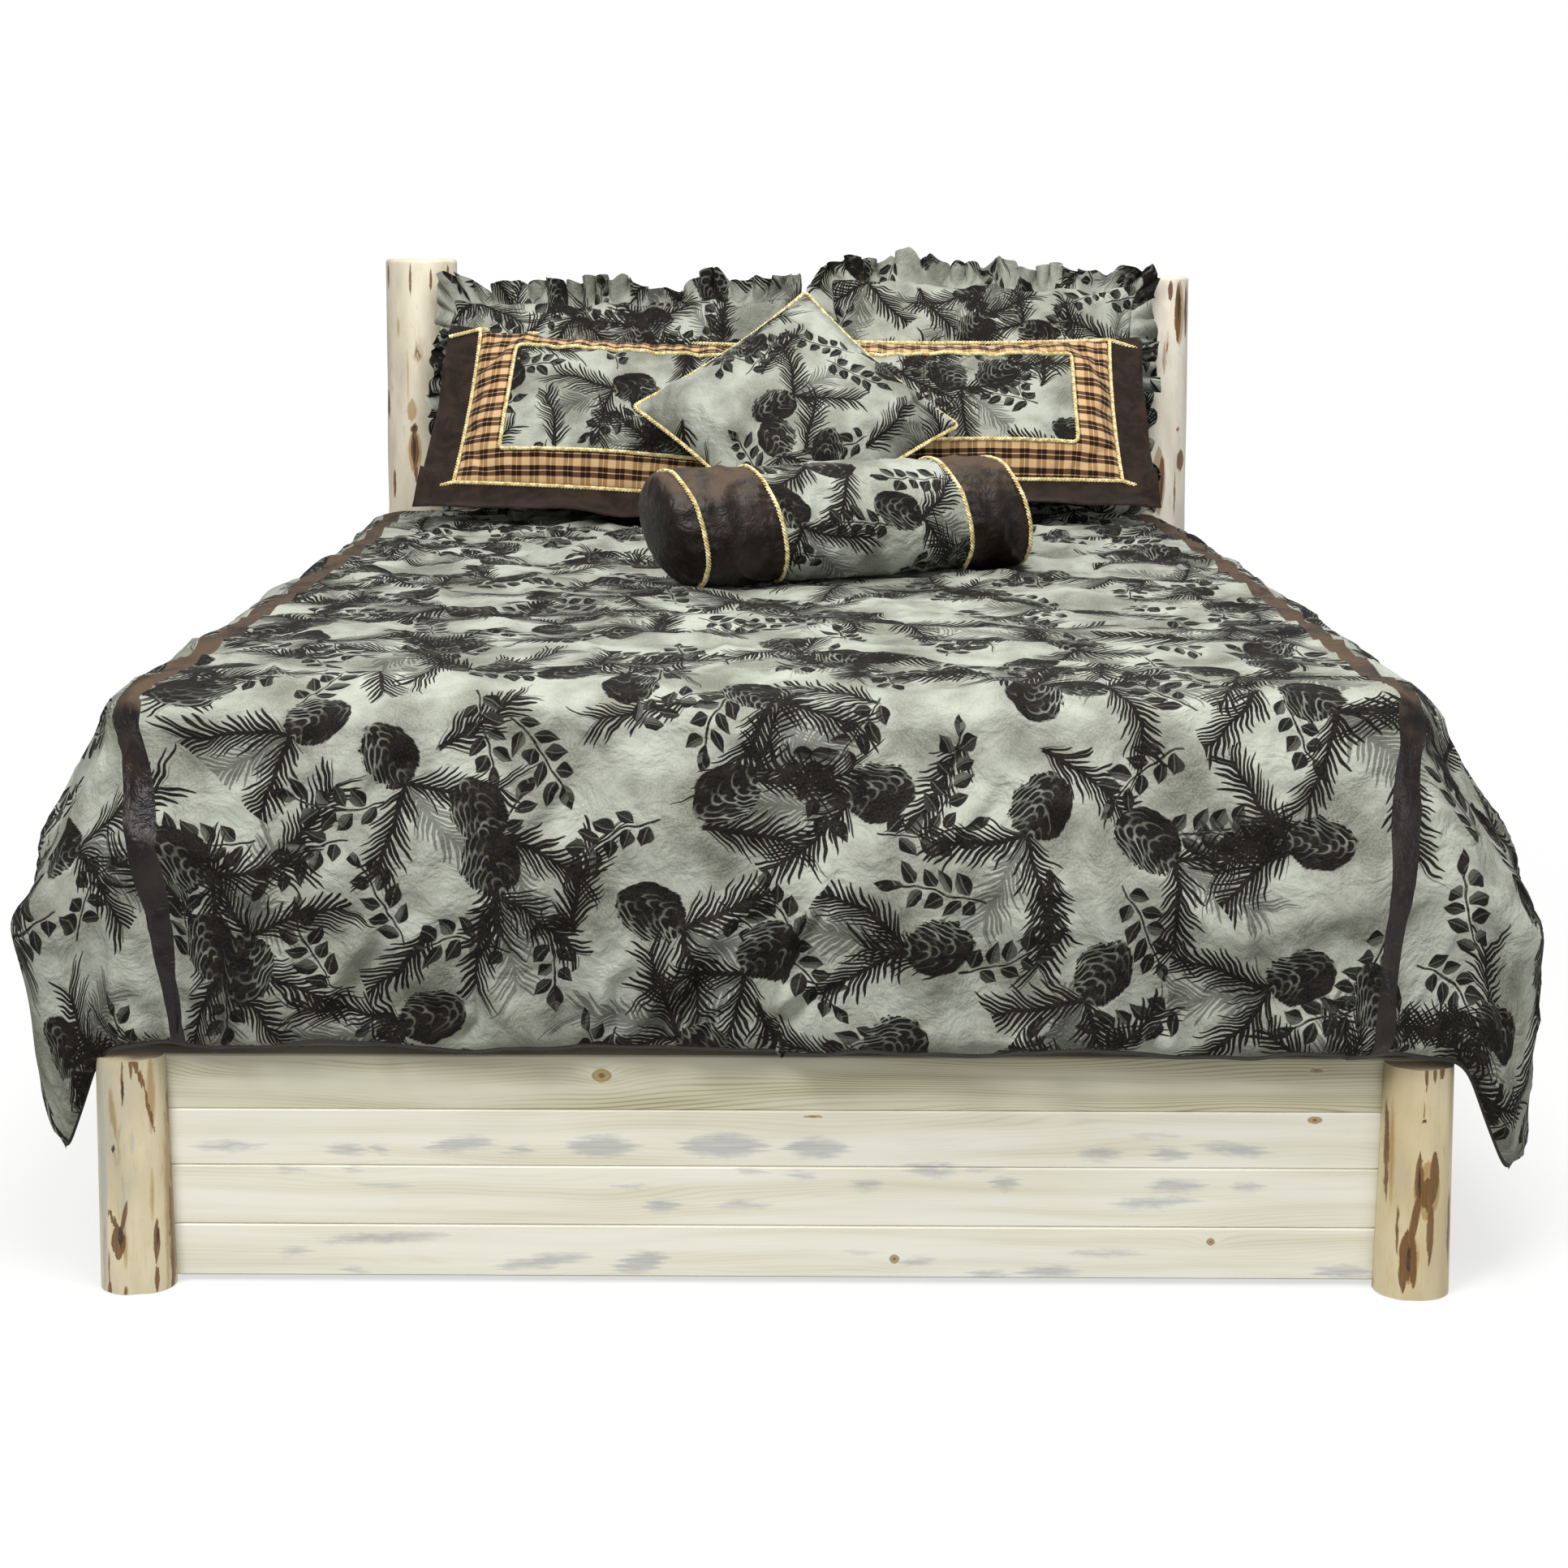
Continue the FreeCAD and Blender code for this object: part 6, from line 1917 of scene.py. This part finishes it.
@dataclass
class CornerCushion:
    """The square cushion on its corner, corded along its seam."""

    leaning: Leaning
    side: float = 450.0 * MM
    loft: float = 84.0 * MM

    def __post_init__(self) -> None:
        """Cut the shell."""
        self.shell = PillowShell("corner_cushion", self.side, self.side, 49, 49, self.loft, 61, (610.0, 240.0),
                                 pinch=16.0 * MM)

    def build(self) -> bpy.types.Object:
        """Dress, cord and lean the filled cushion."""
        piece, _, seam = self.shell.finish()
        wear(piece.data, PRINT)
        smooth_once(piece)
        rise = (seam[:, 0] + seam[:, 2] - self.side * 0.5) / self.side
        line = seam + np.outer(np.clip(rise, 0, 1) * 9.0 - 2.0, [0.0, MM, 0.0])
        cord = gold_cord("corner_cushion_cord", line)
        for item in (enlist(piece), cord):
            item.data.transform(Matrix.Translation((0.0, 0.0, -self.side * 0.5)))
        settle([piece, cord], self.leaning)
        hang_on(piece, [cord])
        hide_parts("square_cushion")
        return piece


@dataclass
class NeckRoll:
    """The neck roll: a printed middle, leather bands and ends, a cord at each seam, its top slumped to one side."""

    radius: float = 99.0 * MM
    domes: tuple[float, float] = (50.0 * MM, 16.0 * MM)
    place: tuple[float, float, float] = at(88.0, 1015.0, 857.6)
    turn: float = 27.0
    slump: float = 0.24
    seams: tuple[float, ...] = (-280.0 * MM, -140.0 * MM, 206.0 * MM, 322.0 * MM)
    around: int = 128

    def profile(self) -> tuple[np.ndarray, np.ndarray]:
        """Give the places along the roll and the radius there."""
        stops = self.seams
        waist = self.radius * 0.955
        angle = np.linspace(0.02, 0.5 * math.pi, 22)
        end = waist * np.sin(angle) ** 0.62
        xs, rs = [stops[0] - self.domes[0] * np.cos(angle)], [end]
        for a, b in zip(stops[:-1], stops[1:]):
            t = np.linspace(0.0, 1.0, 3 + int((b - a) / (7.0 * MM)))[1:]
            xs.append(a + (b - a) * t)
            rs.append(waist + (self.radius - waist) * np.sin(math.pi * t) ** 0.6)
        xs.append((stops[-1] + self.domes[1] * np.cos(angle))[::-1][1:])
        rs.append(end[::-1][1:])
        return np.concatenate(xs), np.concatenate(rs)

    def build(self) -> bpy.types.Object:
        """Turn the roll, gather it at its seams, band it and lay its cords."""
        x, r = self.profile()
        stops = self.seams
        angle = np.linspace(0.0, 2.0 * math.pi, self.around, endpoint=False)
        gx, ga = np.meshgrid(x, angle, indexing="ij")
        radius = np.broadcast_to(r[:, None], gx.shape).copy()
        near = np.min(np.abs(gx[..., None] - np.array(stops)), axis=-1)
        gather = np.sin(ga * 34 + ripple(ga * 0.1, gx, 0.05, 71) * 1.5) * 1.5 * MM * np.exp(-near / 0.022)
        sag = folded(ripple(gx, np.cos(ga) * 0.12, 0.11, 72)) * 3.2 * MM + ripple(gx, np.sin(ga) * 0.1, 0.05, 73) * MM
        dome = (gx < stops[0]) | (gx > stops[-1])
        gather = np.where(dome, np.sin(ga * 17) * 1.2 * MM * (radius / self.radius), gather)
        body = radius - 2.0 * MM + (gather + sag) * np.clip(radius / self.radius, 0, 1)
        body = np.clip(body, 2 * MM, self.radius + 2.4 * MM)
        y, z = body * np.cos(ga), body * np.sin(ga)
        flat_z = -self.radius * 0.93
        z = np.where(z < flat_z, flat_z + (z - flat_z) * 0.35, z)
        points = np.stack([gx, y, z], -1)
        uvs = np.stack([gx + 1.12, ga * self.radius + 0.93], -1)
        mesh = mesh_of("neck_roll_cover", points.reshape(-1, 3), tube_faces(*gx.shape), uvs.reshape(-1, 2))
        mesh.flip_normals()
        wear(mesh, PRINT, LEATHER)
        middle = (x[:-1] + x[1:]) * 0.5
        leather = (middle < stops[1]) | (middle > stops[2])
        choose(mesh, np.concatenate([np.repeat(leather, self.around), [1, 1]]))
        piece = enlist(new_object("neck_roll_cover", mesh))
        cords = [self.cord(number, x, body, stop) for number, stop in enumerate(stops)]
        lean = Matrix.Identity(4)
        lean[0][2] = -self.slump
        matrix = Matrix.Translation(self.place) @ Matrix.Rotation(math.radians(self.turn), 4, "Z") @ lean
        for item in (piece, *cords):
            item.data.transform(matrix)
        hang_on(piece, cords)
        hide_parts("neck_roll")
        return piece

    def cord(self, number: int, x: np.ndarray, body: np.ndarray, stop: float) -> bpy.types.Object:
        """Lay one gold cord around the roll."""
        row = int(np.argmin(np.abs(x - stop)))
        angle = np.linspace(0.0, 2.0 * math.pi, self.around, endpoint=False)
        line = np.stack([np.full(self.around, stop), (body[row] + 1.2 * MM) * np.cos(angle),
                         np.maximum((body[row] + 1.2 * MM) * np.sin(angle), -self.radius * 0.955)], axis=1)
        return gold_cord(f"neck_roll_cord_{number}", line)


PRINT = PrintedCotton()
PLAID = Plaid()
SUEDE = Suede()
GOLD = GoldCord()
LEATHER = BondedLeather()


@dataclass(frozen=True)
class Bedding:
    """Everything that lies on the slats; its pillows are blown up at this pressure for this many frames."""

    pressure: float = 3.0
    frames: int = 18

    def build(self) -> None:
        """Build the box spring, the mattress, the comforter and the pillows in the order they are laid."""
        soft = {
            "left ruffled sham": RuffledSham("ruffled_sham_l", "ruffled_sham_left", "sham_ruffle_left",
                                             Leaning(8.0, *spot(-347.0, 1972.0), 770.0 * MM), 686.0 * MM,
                                             436.0 * MM, (0.0, 0.0), 41),
            "right ruffled sham": RuffledSham("ruffled_sham_r", "ruffled_sham_right", "sham_ruffle_right",
                                              Leaning(8.0, *spot(398.0, 1972.0), 770.0 * MM, 1.5), 630.0 * MM,
                                              474.0 * MM, (350.0, 120.0), 43),
            "left flanged sham": FlangedSham("flanged_sham_l", "plaid_sham_left",
                                             Leaning(38.0, *spot(-356.0, 1749.0), 829.0 * MM, 4.0),
                                             (900.0, 420.0), 51, height=376.0 * MM),
            "right flanged sham": FlangedSham("flanged_sham_r", "plaid_sham_right",
                                              Leaning(38.0, *spot(364.0, 1755.0), 849.0 * MM, -0.4),
                                              (1500.0, 130.0), 53, height=343.0 * MM),
            "corner cushion": CornerCushion(Leaning(42.5, *spot(20.0, 1694.0), 986.0 * MM, 48.5)),
        }
        shells = [item.shell for item in soft.values()]
        for shell in shells:
            shell.sew()
        blow_up(shells, self.pressure, self.frames)
        makers: list[tuple[str, Callable[[], bpy.types.Object]]] = [
            ("box spring", QuiltedBlock("box_spring_cover", "box_spring", 165.3 * MM, 394.3 * MM,
                                        PlainCloth("box_spring_cloth", "#c9c2b4", "#ddd8cc", 2.4),
                                        "box_spring_cover", edge=20.0 * MM).build),
            ("mattress", QuiltedBlock("mattress_cover", "mattress", 394.6 * MM, 727.6 * MM,
                                      PlainCloth("mattress_ticking_cloth", "#dedace", "#efece4", 3.0),
                                      "mattress_ticking", edge=40.0 * MM).build),
            ("comforter", Comforter().build),
            *((name, item.build) for name, item in soft.items()),
            ("neck roll", NeckRoll().build),
        ]
        for name, make in makers:
            log.info("%s as %s", name, make().name)


def plain(value: object) -> list:
    """Turn nested vectors into plain lists of numbers."""
    return [[float(n) for n in row] for row in value]


def main() -> None:
    """Build the camera, the studio, the frame and the bedding."""
    logging.basicConfig(level=logging.INFO)
    Camera().build()
    Studio().build()
    LogFrame().build()
    Bedding().build()


if __name__ == "__main__":
    main()
